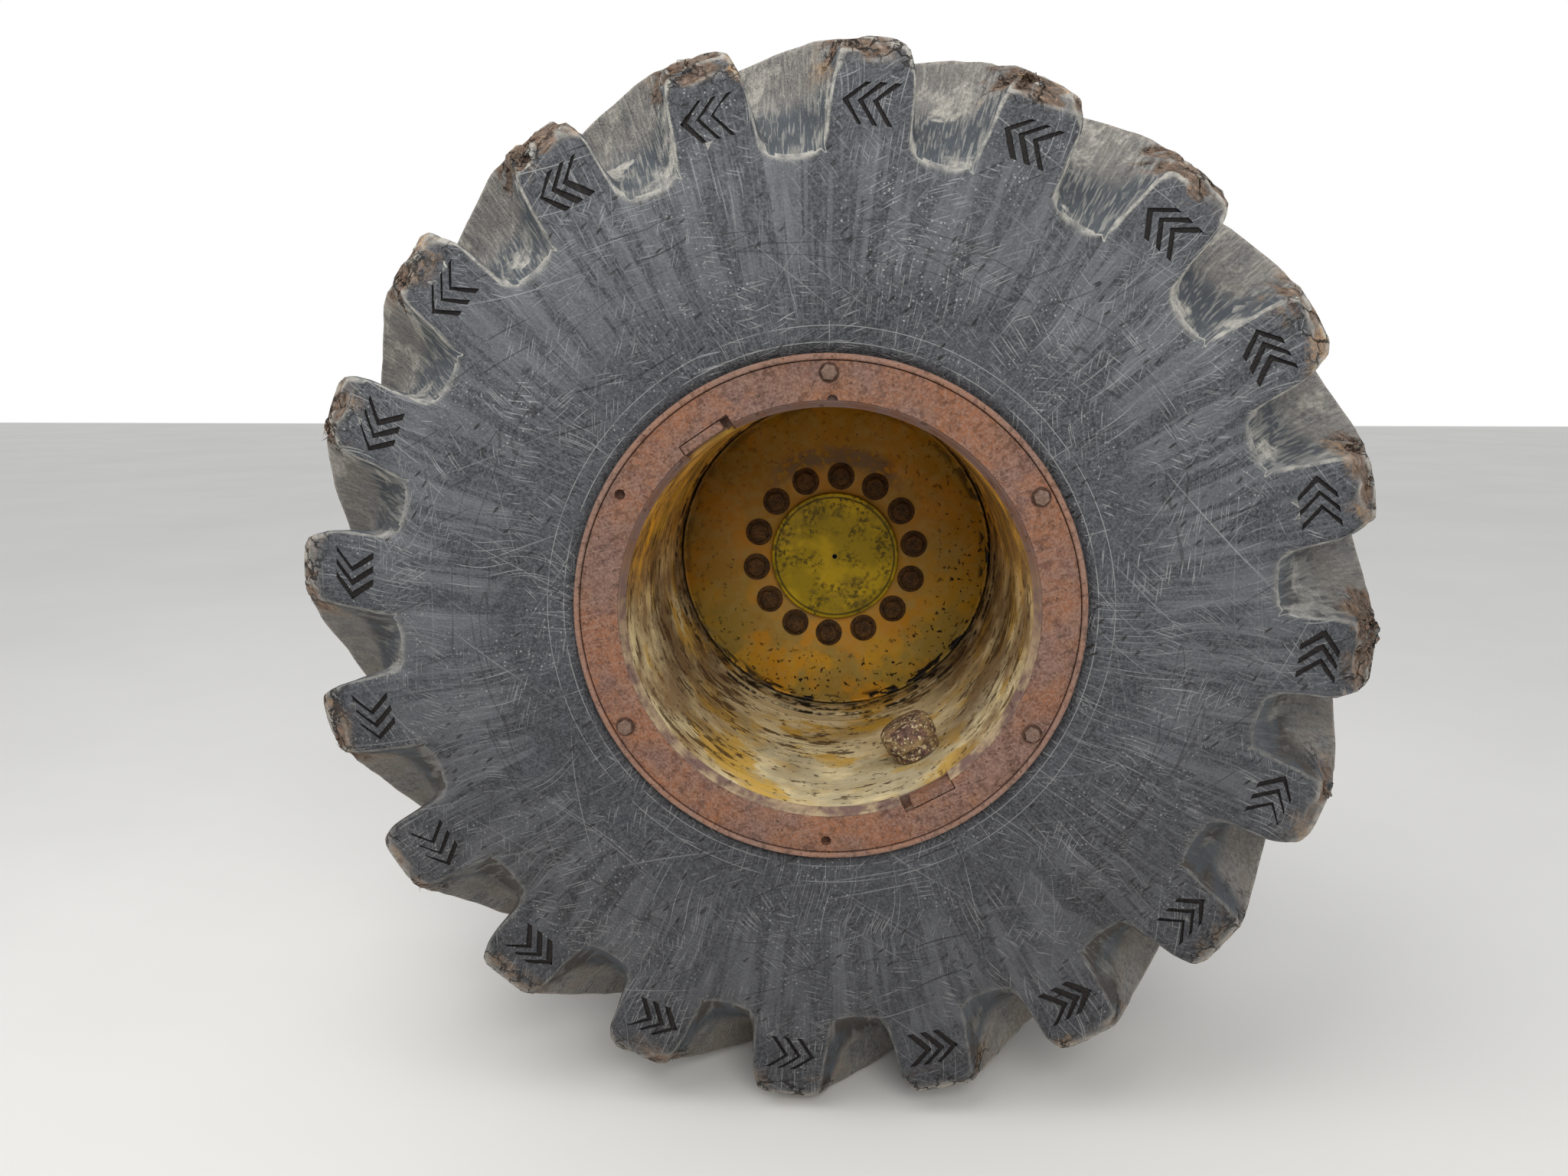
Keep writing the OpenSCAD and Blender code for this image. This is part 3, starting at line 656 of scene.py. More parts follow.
FLANGE_T = 26
LIP_IN = FLANGE - 10.8
BEAD_SEAT = 406.4
SEAT_TOE = 402
GUTTER = 394
BARREL = 355
BARREL_OUT = 371
RIM_TOTAL = 738
INNER_SEAT = 712
RECESS = 3.5
PLATE_BACK = 13.5
PLATE_IN = 367
PLATE_PCD = 412.7
NOTCHES = (151, 326)
NOTCH_H, NOTCH_L = 12.5, 97
KEY_L, KEY_DEPTH = 80, 34
GUARD_BOLTS = (0, 60, 120, 240)


def blocks(name, items):
    """Boxes on the wheel, each from its clock angle and its lowest and highest radius, length and depth."""
    made = []
    for clock, (r0, r1), (l0, l1), (d0, d1) in items:
        deselect()
        bpy.ops.mesh.primitive_cube_add(size=1, location=(0, 0, 0))
        block = bpy.context.object
        size = Vector((l1 - l0, d1 - d0, r1 - r0)) * MM
        middle = Vector(((l0 + l1) / 2 * MM, LIP_Y + (d0 + d1) / 2 * MM, (r0 + r1) / 2 * MM))
        turn = Matrix.Rotation(math.radians(clock), 4, "Y")
        block.data.transform(turn @ Matrix.Translation(middle) @ Matrix.Diagonal((*size, 1)))
        made.append(block)
    return join(name, made)


def drills(name, radius, r, depths, clocks, sides=48):
    """Round cutters that stand along the axle."""
    made = []
    for clock in clocks:
        deselect()
        middle = place(r * MM, clock, (depths[0] + depths[1]) / 2 * MM)
        bpy.ops.mesh.primitive_cylinder_add(
            vertices=sides, radius=radius * MM, depth=(depths[1] - depths[0]) * MM, location=middle,
            rotation=(math.pi / 2, 0, 0),
        )
        made.append(bpy.context.object)
    return join(name, made)


def cut(piece, *cutters):
    """Takes cutters out of a piece and removes them."""
    for cutter in cutters:
        finish_with(piece, "BOOLEAN", operation="DIFFERENCE", solver="MANIFOLD", object=cutter)
        bpy.data.objects.remove(cutter)
    return piece


def ease(piece, width, segments=2, angle=30.0):
    """Rounds a piece's sharp edges, as wear and paint do."""
    return finish_with(
        piece, "BEVEL", width=width * MM, segments=segments, limit_method="ANGLE",
        angle_limit=math.radians(angle), harden_normals=False,
    )


def dent(piece, amount, scale, seed, where=None):
    """Moves the surface in and out by smooth noise, in millimetres."""
    co, normal = vertex_table(piece.data)
    push = noise_at(co, scale, seed) * amount * MM
    if where is not None:
        push = push * where(co)
    piece.data.vertices.foreach_set("co", (co + normal * push[:, None]).ravel())
    piece.data.update()
    return piece


def copy_of(model, transform):
    """A copy with its own mesh, moved in its mesh."""
    copy = model.copy()
    copy.data = model.data.copy()
    bpy.context.collection.objects.link(copy)
    copy.data.transform(transform)
    return copy


def side_ring_piece():
    """The outer flange with its rolled lip, nicked where a lever slipped."""
    ring = turned(
        "side_ring_worn",
        [
            (GUTTER + 6, PLATE_BACK), (LIP_IN, PLATE_BACK), (LIP_IN, 3.2), (LIP_IN + 0.7, 1.2),
            (LIP_IN + 2.6, 0), (FLANGE - 4, 0), (FLANGE - 1.4, 1.1), (FLANGE, 4),
            (FLANGE, FLANGE_T - 3), (FLANGE - 3, FLANGE_T), (BEAD_SEAT, FLANGE_T),
            (SEAT_TOE, FLANGE_T + 50), (GUTTER + 0.3, FLANGE_T + 70), (GUTTER + 0.3, PLATE_BACK + 13.3),
            (GUTTER + 6, PLATE_BACK + 13.3),
        ],
        steps=240,
    )
    cut(
        ring, drills("holes", 8.1, PLATE_PCD, (-1, FLANGE_T - 1), range(0, 360, 60)),
        blocks("nicks", [
            (326.2, (LIP_IN - 4, FLANGE + 3), (-2.2, 2.0), (-3, 2.1)),
            (330.3, (LIP_IN + 5, FLANGE + 3), (-5, 4), (-3, 1.3)),
            (157.2, (LIP_IN - 4, FLANGE + 3), (-1.4, 1.6), (-3, 2.3)),
            (214.5, (LIP_IN + 6, FLANGE + 3), (-3, 4), (-3, 1.0)),
            (71.0, (LIP_IN + 6, FLANGE + 3), (-4, 5), (-3, 1.1)),
        ]),
    )
    return shade(ease(dent(ring, 0.5, 16, 4), 0.5, 1, 40), 40)


def rim_base_piece():
    """The barrel with its bevelled mouth, the gutter, the inner flange and the lines of its welds."""
    base = turned(
        "rim_base_worn",
        [
            (BARREL, 20.5), (BARREL + 0.8, 19.6), (BARREL + 1.6, 19.4), (PLATE_IN - 3.6, 6.6),
            (PLATE_IN - 2.6, 6.2), (PLATE_IN - 0.3, RECESS), (PLATE_IN - 0.3, PLATE_BACK),
            (GUTTER - 10, PLATE_BACK), (GUTTER - 10, PLATE_BACK + 13.3), (GUTTER, PLATE_BACK + 13.3),
            (GUTTER, PLATE_BACK + 103), (BARREL_OUT, PLATE_BACK + 133), (BARREL_OUT, INNER_SEAT - 130),
            (SEAT_TOE - 4, INNER_SEAT - 80), (SEAT_TOE, INNER_SEAT - 50), (BEAD_SEAT, INNER_SEAT),
            (FLANGE - 3, INNER_SEAT), (FLANGE, INNER_SEAT + 3), (FLANGE, RIM_TOTAL - 4),
            (FLANGE - 3, RIM_TOTAL), (LIP_IN + 2, RIM_TOTAL), (LIP_IN, RIM_TOTAL - 3),
            (LIP_IN, INNER_SEAT + 12), (BARREL_OUT, INNER_SEAT + 12), (BARREL_OUT, RIM_TOTAL - 2),
            (BARREL, RIM_TOTAL - 2), (BARREL, 636), (BARREL - 3, 630), (BARREL - 3, 606), (BARREL, 600),
            (BARREL, 549), (BARREL - 1.2, 547), (BARREL, 545),
        ],
        steps=192,
    )
    cut(base, blocks("pockets", [
        (clock, (PLATE_IN - 30, PLATE_IN + NOTCH_H), (-NOTCH_L / 2, NOTCH_L / 2), (-1, RECESS + KEY_DEPTH))
        for clock in NOTCHES
    ]))
    return shade(ease(base, 0.6, 1, 25), 40)


def guard_plate_piece():
    """The flat guard plate, with its six holes, two key notches and a sighting notch at the top."""
    plate = turned("guard_plate_worn", [
        (PLATE_IN, RECESS), (PLATE_IN + 22, RECESS), (PLATE_IN + 44, RECESS), (LIP_IN - 1.2, RECESS),
        (LIP_IN - 1.2, PLATE_BACK), (PLATE_IN, PLATE_BACK),
    ], steps=240)
    cut(
        plate, drills("holes", 9.25, PLATE_PCD, (RECESS - 5, PLATE_BACK + 5), range(0, 360, 60)),
        blocks(
            "notches",
            [
                (
                    clock, (PLATE_IN - 30, PLATE_IN + NOTCH_H + 1.6), (-NOTCH_L / 2 - 1.4, NOTCH_L / 2),
                    (-1, PLATE_BACK + 5),
                )
                for clock in NOTCHES
            ],
        ),
        drills("sight", 9, PLATE_IN, (RECESS - 5, PLATE_BACK + 5), (0.9,), 32),
    )
    face = lambda co: (co[:, 1] < LIP_Y + (RECESS + 2) * MM).astype(float)
    return shade(dent(ease(plate, 1.0, 2, 40), 0.35, 14, 6, face), 40)


def key_piece():
    """Two rectangular driver keys, each against the counter-clockwise end of its notch."""
    top = PLATE_IN + NOTCH_H - 0.3
    keys = blocks(
        "driver_keys_worn",
        [
            (
                clock, (top - 16, top), (-NOTCH_L / 2 + 0.3, -NOTCH_L / 2 + 0.3 + KEY_L),
                (RECESS, RECESS + KEY_DEPTH - 0.3),
            )
            for clock in NOTCHES
        ],
    )
    ease(keys, 1.6, 3)
    select_only(keys)
    bpy.ops.object.mode_set(mode="EDIT")
    bpy.ops.mesh.select_all(action="SELECT")
    bpy.ops.mesh.subdivide(number_cuts=2)
    keys = settle("driver_keys_worn")
    return shade(dent(keys, 0.4, 40, 8), 30)


def hex_bolt(name, flats, head, shank_r, shank):
    """A bolt along the axle, with its seat at the origin, its head outboard and its shank inboard."""
    deselect()
    bpy.ops.mesh.primitive_cylinder_add(
        vertices=6, radius=flats / math.sqrt(3) * MM, depth=head * MM, location=(0, -head / 2 * MM, 0),
        rotation=(math.pi / 2, 0, 0),
    )
    hexagon = settle(name)
    r = flats / 2
    cone = solid(
        "cone",
        [
            (0, -head), (r * 0.86, -head), (r * 0.93, -head + 0.3), (r * 1.2, -head + r * 0.16),
            (r * 1.2, 1), (0, 1),
        ],
    )
    finish_with(hexagon, "BOOLEAN", operation="INTERSECT", solver="MANIFOLD", object=cone)
    bpy.data.objects.remove(cone)
    ease(hexagon, 0.5, 1, 25)
    stem = solid(
        "stem", [(0, -1), (shank_r, -1), (shank_r, shank - 1.5), (shank_r - 1.5, shank), (0, shank)]
    )
    return join(name, [hexagon, stem])


def washer(name, hole, outer, thick, lift=0.0):
    """A washer along the axle with its seat at lift and its outer face rounded by wear."""
    return solid(name, [
        (hole, lift), (hole, lift - thick), (outer - 1.6, lift - thick), (outer - 0.4, lift - thick + 0.6),
        (outer, lift - thick + 1.6), (outer, lift),
    ], closed=True)


def around(name, model, radius, depth, clocks, seed):
    """Copies of a model on a circle round the axle, each turned at random about itself."""
    draw = random.Random(seed)
    copies = []
    for clock in clocks:
        spin = Matrix.Rotation(math.radians(draw.uniform(0, 60)), 4, "Y")
        copies.append(copy_of(model, Matrix.Translation(place(radius * MM, clock, depth * MM)) @ spin))
    bpy.data.objects.remove(model)
    return join(name, copies)


def guard_bolt_piece():
    """Four hexagon bolts that hold the guard plate. The two at the lower left and right are missing."""
    model = hex_bolt("guard_bolt", 24, 8, 7.8, 24)
    return shade(around("guard_bolts_worn", model, PLATE_PCD, RECESS - 3, GUARD_BOLTS, 5), 30)


def guard_washer_piece():
    model = washer("guard_washer", 8.1, 17, 3)
    return shade(around("guard_washers_worn", model, PLATE_PCD, RECESS, GUARD_BOLTS, 6), 30)


# Valve, standing on the barrel's wall and pointing at the axle
VALVE_CLOCK, VALVE_DEPTH = 150.6, 195
VALVE_NECK_R, VALVE_CAP_R, VALVE_CAP_LOW, VALVE_H = 44, 52, 26, 76


def on_barrel(piece, clock, depth):
    """Stands a piece that was modelled along the axle on the barrel's wall."""
    stand = Matrix.Rotation(math.radians(clock), 4, "Y") @ Matrix.Rotation(math.radians(-90), 4, "X")
    piece.data.transform(Matrix.Translation(place(BARREL * MM, clock, depth * MM)) @ stand)
    piece.data.update()
    return piece


def valve_guard_piece():
    """The domed cap over the valve, with a groove round it and a ringed neck."""
    neck, cap, low, top = VALVE_NECK_R, VALVE_CAP_R, VALVE_CAP_LOW, VALVE_H
    model = solid(
        "valve_guard_worn",
        [
            (0, 4), (neck - 1, 4), (neck, 6), (neck, 12), (neck + 1.6, 14), (neck, 16),
            (neck - 0.6, 20), (neck + 1.4, 22), (neck, 24), (neck + 1, low), (cap - 2.5, low + 1),
            (cap, low + 4), (cap + 0.2, low + 24), (cap - 1.8, low + 27), (cap - 1.8, low + 30),
            (cap - 0.4, low + 33), (cap - 3, top - 9), (cap - 10, top - 3.5), (cap - 26, top - 0.6),
            (0, top),
        ],
        steps=72,
    )
    bore = solid("bore", [(0, 2), (34, 2), (34, top - 8), (0, top - 8)])
    cut(model, bore)
    dent(ease(model, 0.8, 2, 30), 0.9, 45, 11)
    return shade(on_barrel(model, VALVE_CLOCK, VALVE_DEPTH), 40)


def valve_stem_piece():
    """A brass valve with its cap, hidden by the guard."""
    model = solid("valve_stem_worn", [
        (0, 0.3), (9, 0.3), (9, 18), (6.5, 20), (6.5, 40), (8, 41), (8, 54), (5.5, 57), (0, 57)
    ], steps=32)
    return shade(on_barrel(ease(model, 0.4, 1), VALVE_CLOCK, VALVE_DEPTH), 30)


# Wheel disc and its bolts
DISC_DEPTH, DISC_T = 690, 22
WHEEL_PCD_R = 182
WHEEL_CLOCKS = [4 + 360 / 14 * i for i in range(14)]
PILOT_R, PILOT_H = 144, 19
HUB_R, HUB_T = 224, 38


def wheel_disc_piece():
    """The disc, seated in the barrel with its weld bead and bored for the pilot and fourteen bolts."""
    disc = turned("wheel_disc_worn", [
        (PILOT_R + 0.3, DISC_DEPTH + 1.5), (PILOT_R + 1.8, DISC_DEPTH), (BARREL - 12, DISC_DEPTH),
        (BARREL - 8, DISC_DEPTH + 2), (BARREL - 4, DISC_DEPTH + 9), (BARREL - 0.3, DISC_DEPTH + 10),
        (BARREL - 0.3, DISC_DEPTH + DISC_T + 10), (BARREL - 10, DISC_DEPTH + DISC_T),
        (PILOT_R + 0.3, DISC_DEPTH + DISC_T),
    ], steps=192)
    cut(disc, drills("holes", 13, WHEEL_PCD_R, (DISC_DEPTH - 5, DISC_DEPTH + DISC_T + 5), WHEEL_CLOCKS, 32))
    bead = turned("bead", [
        (BARREL - 7 + 5.5 * math.sin(a), DISC_DEPTH + 5 - 5.5 * math.cos(a))
        for a in (math.tau * k / 10 for k in range(10))
    ], steps=480)
    dent(bead, 1.1, 60, 12)
    return shade(join("wheel_disc_worn", [ease(disc, 0.8, 1, 40), bead]), 40)


def wheel_bolt_piece():
    model = hex_bolt("wheel_bolt", 38, 13, 12, 77)
    bolts = around("wheel_bolts_worn", model, WHEEL_PCD_R, DISC_DEPTH - 5, WHEEL_CLOCKS, 7)
    return shade(dent(bolts, 0.5, 70, 13), 30)


def wheel_washer_piece():
    """The thick washers, each with the raised ring that the tool leaves."""
    model = solid(
        "wheel_washer",
        [
            (12.3, 0), (12.3, -5), (22, -5), (23.2, -6), (24.6, -6), (25.6, -5), (28.6, -4.6),
            (30.2, -3.4), (30.5, -2), (30.5, 0),
        ],
        closed=True, steps=48,
    )
    washers = around("wheel_washers_worn", model, WHEEL_PCD_R, DISC_DEPTH, WHEEL_CLOCKS, 8)
    return shade(dent(washers, 0.5, 60, 14), 30)


# Axle end

AXLE_L = -LIP_Y / MM
HUB_BACK = DISC_DEPTH + DISC_T + HUB_T
CARRIER_FRONT = HUB_BACK + 26
OUTER_BEARING = CARRIER_FRONT + 36
INNER_BEARING = AXLE_L - 114
BEARING_W = 44
SPLINE_END = AXLE_L - 12
SPLINE_TEETH = 28


def axle_shaft_piece():
    """The shaft from its grooved pilot face over the flange and the journals to the splines."""
    face, back = DISC_DEPTH - PILOT_H, DISC_DEPTH + DISC_T
    shaft = turned(
        "axle_shaft_worn",
        [
            (0, face), (PILOT_R - 11, face), (PILOT_R - 10.6, face + 3), (PILOT_R - 7.4, face + 3),
            (PILOT_R - 7, face), (PILOT_R - 2.6, face), (PILOT_R - 0.8, face + 0.8),
            (PILOT_R, face + 2.6), (PILOT_R, back), (HUB_R - 3, back), (HUB_R, back + 3),
            (HUB_R, HUB_BACK - 3), (HUB_R - 3, HUB_BACK), (114, HUB_BACK), (104, HUB_BACK + 3),
            (96, HUB_BACK + 9), (92, HUB_BACK + 16), (92, CARRIER_FRONT + 24), (80, CARRIER_FRONT + 24),
            (80, OUTER_BEARING + BEARING_W + 6), (56, OUTER_BEARING + BEARING_W + 30),
            (56, INNER_BEARING - 16), (62, INNER_BEARING - 10), (62, INNER_BEARING + BEARING_W + 4),
            (50, INNER_BEARING + BEARING_W + 8), (50, SPLINE_END - 3), (47, SPLINE_END),
            (0, SPLINE_END),
        ],
        steps=144, closed=False,
    )
    slots = blocks("slots", [
        (360 / SPLINE_TEETH * i, (46, 54), (-2.8, 2.8), (INNER_BEARING + BEARING_W + 14, SPLINE_END + 4))
        for i in range(SPLINE_TEETH)
    ])
    cut(
        shaft, drills("centre", 4, 0, (face - 4, face + 15), (0,), 24), slots,
        drills("holes", 12.3, WHEEL_PCD_R, (back - 4, HUB_BACK + 4), WHEEL_CLOCKS, 32),
    )
    return shade(ease(shaft, 0.7, 1, 35), 40)


def eased_copy(node, name, width):
    """A copy of a solid from the frame with its flat faces whole and its edges rounded."""
    copy = copy_of(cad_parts[node], Matrix.Identity(4))
    copy.name = copy.data.name = name
    select_only(copy)
    bpy.ops.object.mode_set(mode="EDIT")
    bpy.ops.mesh.select_all(action="SELECT")
    bpy.ops.mesh.remove_doubles(threshold=1e-5)
    bpy.ops.mesh.dissolve_limited(angle_limit=math.radians(1))
    bpy.ops.object.mode_set(mode="OBJECT")
    return shade(ease(copy, width, 2, 30), 35)


# Patterns that several materials share


def product(tree, *values):
    """The product of several masks."""
    result = values[0]
    for value in values[1:]:
        result = add_node(tree, "ShaderNodeMath", {0: result, 1: value}, operation="MULTIPLY").outputs[0]
    return result


def greatest(tree, *values):
    """The strongest of several masks."""
    result = values[0]
    for value in values[1:]:
        result = add_node(tree, "ShaderNodeMath", {0: result, 1: value}, operation="MAXIMUM").outputs[0]
    return result


def added(tree, base, *parts):
    """A value or a relief with parts added to it, each times its own weight."""
    for part, weight in parts:
        base = add_node(
            tree, "ShaderNodeMath", {0: part, 1: weight, 2: base}, operation="MULTIPLY_ADD"
        ).outputs[0]
    return base


def between(tree, mask, least, most=1.0):
    """A mask that runs from a least to a greatest value in place of 0 to 1."""
    return added(tree, least, (mask, most - least))


def off_axle(tree, place_in):
    """The part of a place that stands off the axle, and its length, which is the radius."""
    flat = add_node(
        tree, "ShaderNodeVectorMath", {0: place_in, 1: (1, 0, 1)}, operation="MULTIPLY"
    ).outputs[0]
    return flat, add_node(tree, "ShaderNodeVectorMath", {0: flat}, operation="LENGTH").outputs["Value"]


def wheel_space(tree, around, inward, along):
    """Coordinates that run round the wheel without a seam: turns a clock direction, a radius and a depth
    into a vector whose scales are waves per radian and waves per metre."""
    here = add_node(tree, "ShaderNodeTexCoord").outputs["Object"]
    flat, radius = off_axle(tree, here)
    turn = add_node(tree, "ShaderNodeVectorMath", {0: flat}, operation="NORMALIZE")
    turn = add_node(tree, "ShaderNodeVectorMath", {0: turn.outputs[0], "Scale": around}, operation="SCALE")
    depth = add_node(tree, "ShaderNodeSeparateXYZ", {0: here}).outputs["Y"]
    lift = add_node(
        tree, "ShaderNodeCombineXYZ", {"Y": added(tree, product(tree, radius, inward), (depth, along))}
    )
    return add_node(
        tree, "ShaderNodeVectorMath", {0: turn.outputs[0], 1: lift.outputs[0]}, operation="ADD"
    ).outputs[0]


def radius_and_depth(tree):
    """The radius and the depth behind the lip at each point, in metres, and the point's three parts."""
    here = add_node(tree, "ShaderNodeTexCoord").outputs["Object"]
    parts = add_node(tree, "ShaderNodeSeparateXYZ", {0: here}).outputs
    return off_axle(tree, here)[1], added(tree, -LIP_Y, (parts["Y"], 1.0)), parts


def band(tree, value, low, high, soft):
    """1 between two values and 0 outside them, with a soft edge."""
    slopes = []
    for start, end in ((low - soft, low + soft), (high + soft, high - soft)):
        slope = add_node(
            tree, "ShaderNodeMapRange", {"Value": value, "From Min": start, "From Max": end},
            interpolation_type="SMOOTHSTEP",
        )
        slopes.append(slope.outputs[0])
    return product(tree, *slopes)


def moved(tree, place_in, seed):
    """Coordinates moved by a seed, so that no two patterns fall together."""
    shift = (seed * 3.1, seed * 1.7, seed * 2.3)
    return add_node(tree, "ShaderNodeVectorMath", {0: place_in, 1: shift}, operation="ADD").outputs[0]


def patches(tree, place_in, scale, low, high, detail=4.0, seed=0.0):
    """Noise that rises from 0 to 1 between two levels."""
    value = add_node(
        tree, "ShaderNodeTexNoise",
        {"Vector": moved(tree, place_in, seed), "Scale": scale, "Detail": detail, "Roughness": 0.6},
    )
    rise = add_node(
        tree, "ShaderNodeMapRange", {"Value": value.outputs[0], "From Min": low, "From Max": high}
    )
    return rise.outputs[0]


def hairlines(tree, place_in, scale, width, seed=0.0, detail=1.5):
    """Thin lines where noise passes its middle value, so they run along the way the space is stretched."""
    value = add_node(
        tree, "ShaderNodeTexNoise",
        {"Vector": moved(tree, place_in, seed), "Scale": scale, "Detail": detail},
    )
    away = add_node(tree, "ShaderNodeMath", {0: value.outputs[0], 1: 0.5}, operation="SUBTRACT")
    away = add_node(tree, "ShaderNodeMath", {0: away.outputs[0]}, operation="ABSOLUTE")
    return add_node(
        tree, "ShaderNodeMapRange", {"Value": away.outputs[0], "From Min": width, "From Max": 0.0}
    ).outputs[0]


def layered(tree, base, *coats):
    """A colour with coats over it: the mask of each, its colour, and its strength if that isn't 1."""
    for mask, coat, *strength in coats:
        mix = add_node(tree, "ShaderNodeMix", data_type="RGBA")
        for socket, value in ((0, product(tree, mask, *strength)), (6, base), (7, coat)):
            fill(tree, mix.inputs[socket], value)
        base = mix.outputs[2]
    return base


def surface(tree, colour, roughness, height, distance, metallic=0.0, gloss=0.2):
    """Ends a material: its colour, its roughness and the relief of its surface in metres. Dust takes most
    of the gloss off all that isn't bright metal."""
    bump = add_node(tree, "ShaderNodeBump", {"Height": height, "Strength": 1.0, "Distance": distance})
    shader = add_node(
        tree, "ShaderNodeBsdfPrincipled",
        {
            "Base Color": colour, "Roughness": roughness, "Metallic": metallic, "Specular IOR Level": gloss,
            "Normal": bump.outputs[0],
        },
    )
    add_node(tree, "ShaderNodeOutputMaterial", {"Surface": shader.outputs[0]})


def bent(tree, amount, scale, seed):
    """Object coordinates pushed about by slow noise, so that lines drawn in them curve."""
    here = add_node(tree, "ShaderNodeTexCoord").outputs["Object"]
    push = add_node(
        tree, "ShaderNodeTexNoise", {"Vector": moved(tree, here, seed), "Scale": scale, "Detail": 0.0}
    )
    middle = add_node(
        tree, "ShaderNodeVectorMath", {0: push.outputs["Color"], 1: (0.5,) * 3}, operation="SUBTRACT"
    )
    return add_node(
        tree, "ShaderNodeVectorMath", {0: middle.outputs[0], 1: (amount,) * 3, 2: here},
        operation="MULTIPLY_ADD",
    ).outputs[0]


def across_wheel(tree, place_in, angle):
    """Metres along and across a direction in the plane of the wheel."""
    turn = math.radians(angle)
    ways = ((math.cos(turn), 0, math.sin(turn)), (-math.sin(turn), 0, math.cos(turn)))
    return [
        add_node(
            tree, "ShaderNodeVectorMath", {0: place_in, 1: way}, operation="DOT_PRODUCT"
        ).outputs["Value"]
        for way in ways
    ]


def round_wheel(tree, place_in, at):
    """Metres along a radius and round the wheel, the second as measured at one radius."""
    parts = add_node(tree, "ShaderNodeSeparateXYZ", {0: place_in}).outputs
    _, radius = off_axle(tree, place_in)
    upside = product(tree, parts["Z"], -1.0)
    turn = add_node(tree, "ShaderNodeMath", {0: parts["X"], 1: upside}, operation="ARCTAN2").outputs[0]
    return [radius, product(tree, turn, at)]


def strokes(tree, ground, length, width, share, seed):
    """Strokes with tapered ends on the ground's two coordinates: their length and width in metres, and the
    share of the ground that they would cover. Each has a strength of its own."""
    reach = math.sqrt(share / math.pi)
    along = added(tree, seed, (ground[0], 2 * reach / length))
    across = added(tree, seed * 1.7, (ground[1], 2 * reach / width))
    spot = add_node(tree, "ShaderNodeCombineXYZ", {"X": along, "Y": across}).outputs[0]
    cell = add_node(
        tree, "ShaderNodeTexVoronoi", {"Vector": spot, "Scale": 1.0}, voronoi_dimensions="2D"
    ).outputs
    strength = add_node(tree, "ShaderNodeSeparateColor", {0: cell["Color"]}).outputs["Red"]
    line = add_node(
        tree, "ShaderNodeMapRange", {"Value": cell["Distance"], "From Min": reach, "From Max": reach * 0.55}
    ).outputs[0]
    return product(tree, line, between(tree, strength, 0.25))


def specks(tree, place_in, size, share, seed):
    """Round specks of mixed sizes up to a size in metres, which would cover a share of the surface."""
    reach = (share * 3) ** 0.5 / 2
    cell = add_node(
        tree, "ShaderNodeTexVoronoi", {"Vector": moved(tree, place_in, seed), "Scale": 2 * reach / size}
    ).outputs
    own = add_node(tree, "ShaderNodeSeparateColor", {0: cell["Color"]}).outputs["Red"]
    left = added(tree, product(tree, own, reach), (cell["Distance"], -1.0))
    return add_node(
        tree, "ShaderNodeMapRange", {"Value": left, "From Min": 0.0, "From Max": reach * 0.25}
    ).outputs[0]


def cracks(tree, place_in, size, width, seed):
    """Dark lines between cells of a size in metres, pushed about so that they run ragged."""
    rough = add_node(
        tree, "ShaderNodeTexNoise",
        {"Vector": moved(tree, place_in, seed), "Scale": 3 / size, "Detail": 3.0},
    )
    ragged = add_node(
        tree, "ShaderNodeVectorMath", {0: rough.outputs["Color"], 1: (size * 0.9,) * 3, 2: place_in},
        operation="MULTIPLY_ADD",
    ).outputs[0]
    cell = add_node(
        tree, "ShaderNodeTexVoronoi", {"Vector": ragged, "Scale": 1 / size}, feature="DISTANCE_TO_EDGE"
    ).outputs
    return add_node(
        tree, "ShaderNodeMapRange",
        {"Value": cell["Distance"], "From Min": width / size, "From Max": width / size / 4},
    ).outputs[0]


# Scratches on the tyre's side, in sets that run one way each: the angle of the set in degrees, the length
# and width of a scratch in metres, and the share of the surface that the set would cover
LONG_SCRATCHES = (
    (12, 0.34, 0.0026, 0.014), (-38, 0.42, 0.0022, 0.012), (58, 0.30, 0.0024, 0.012),
    (97, 0.36, 0.0024, 0.012), (141, 0.30, 0.0022, 0.011),
)
SHORT_SCRATCHES = (
    (22, 0.045, 0.0020, 0.11), (81, 0.038, 0.0020, 0.11), (134, 0.05, 0.0018, 0.11),
    (169, 0.03, 0.0024, 0.10),
)


def side_scratches(tree, here):
    """All the scratches that wood and stones leave on the tyre's side, as one mask of pale lines. They are
    about 2 mm wide, a little coarser than the real ones, so that they show."""
    swept = bent(tree, 0.16, 1.7, 3.0)
    curled = bent(tree, 0.06, 7.0, 4.0)
    busy = between(tree, patches(tree, here, 2.3, 0.44, 0.6, detail=1.0, seed=61.0), 0.25)
    lines = []
    for n, (angle, *size) in enumerate(LONG_SCRATCHES):
        long_one = strokes(tree, across_wheel(tree, swept, angle), *size, n * 3.7 + 1)
        lines.append(product(tree, long_one, busy))
    for n, (angle, *size) in enumerate(SHORT_SCRATCHES):
        cluster = patches(tree, here, 6.5, 0.53, 0.6, detail=3.0, seed=41.0 + n)
        short_one = strokes(tree, across_wheel(tree, curled, angle), *size, n + 51.0)
        lines.append(product(tree, short_one, cluster))
    spokes = round_wheel(tree, curled, 0.68)
    near = patches(tree, here, 5.0, 0.46, 0.58, detail=2.0, seed=48.0)
    lines.append(product(tree, strokes(tree, spokes, 0.11, 0.0022, 0.10, 71.0), near))
    return greatest(tree, *lines)


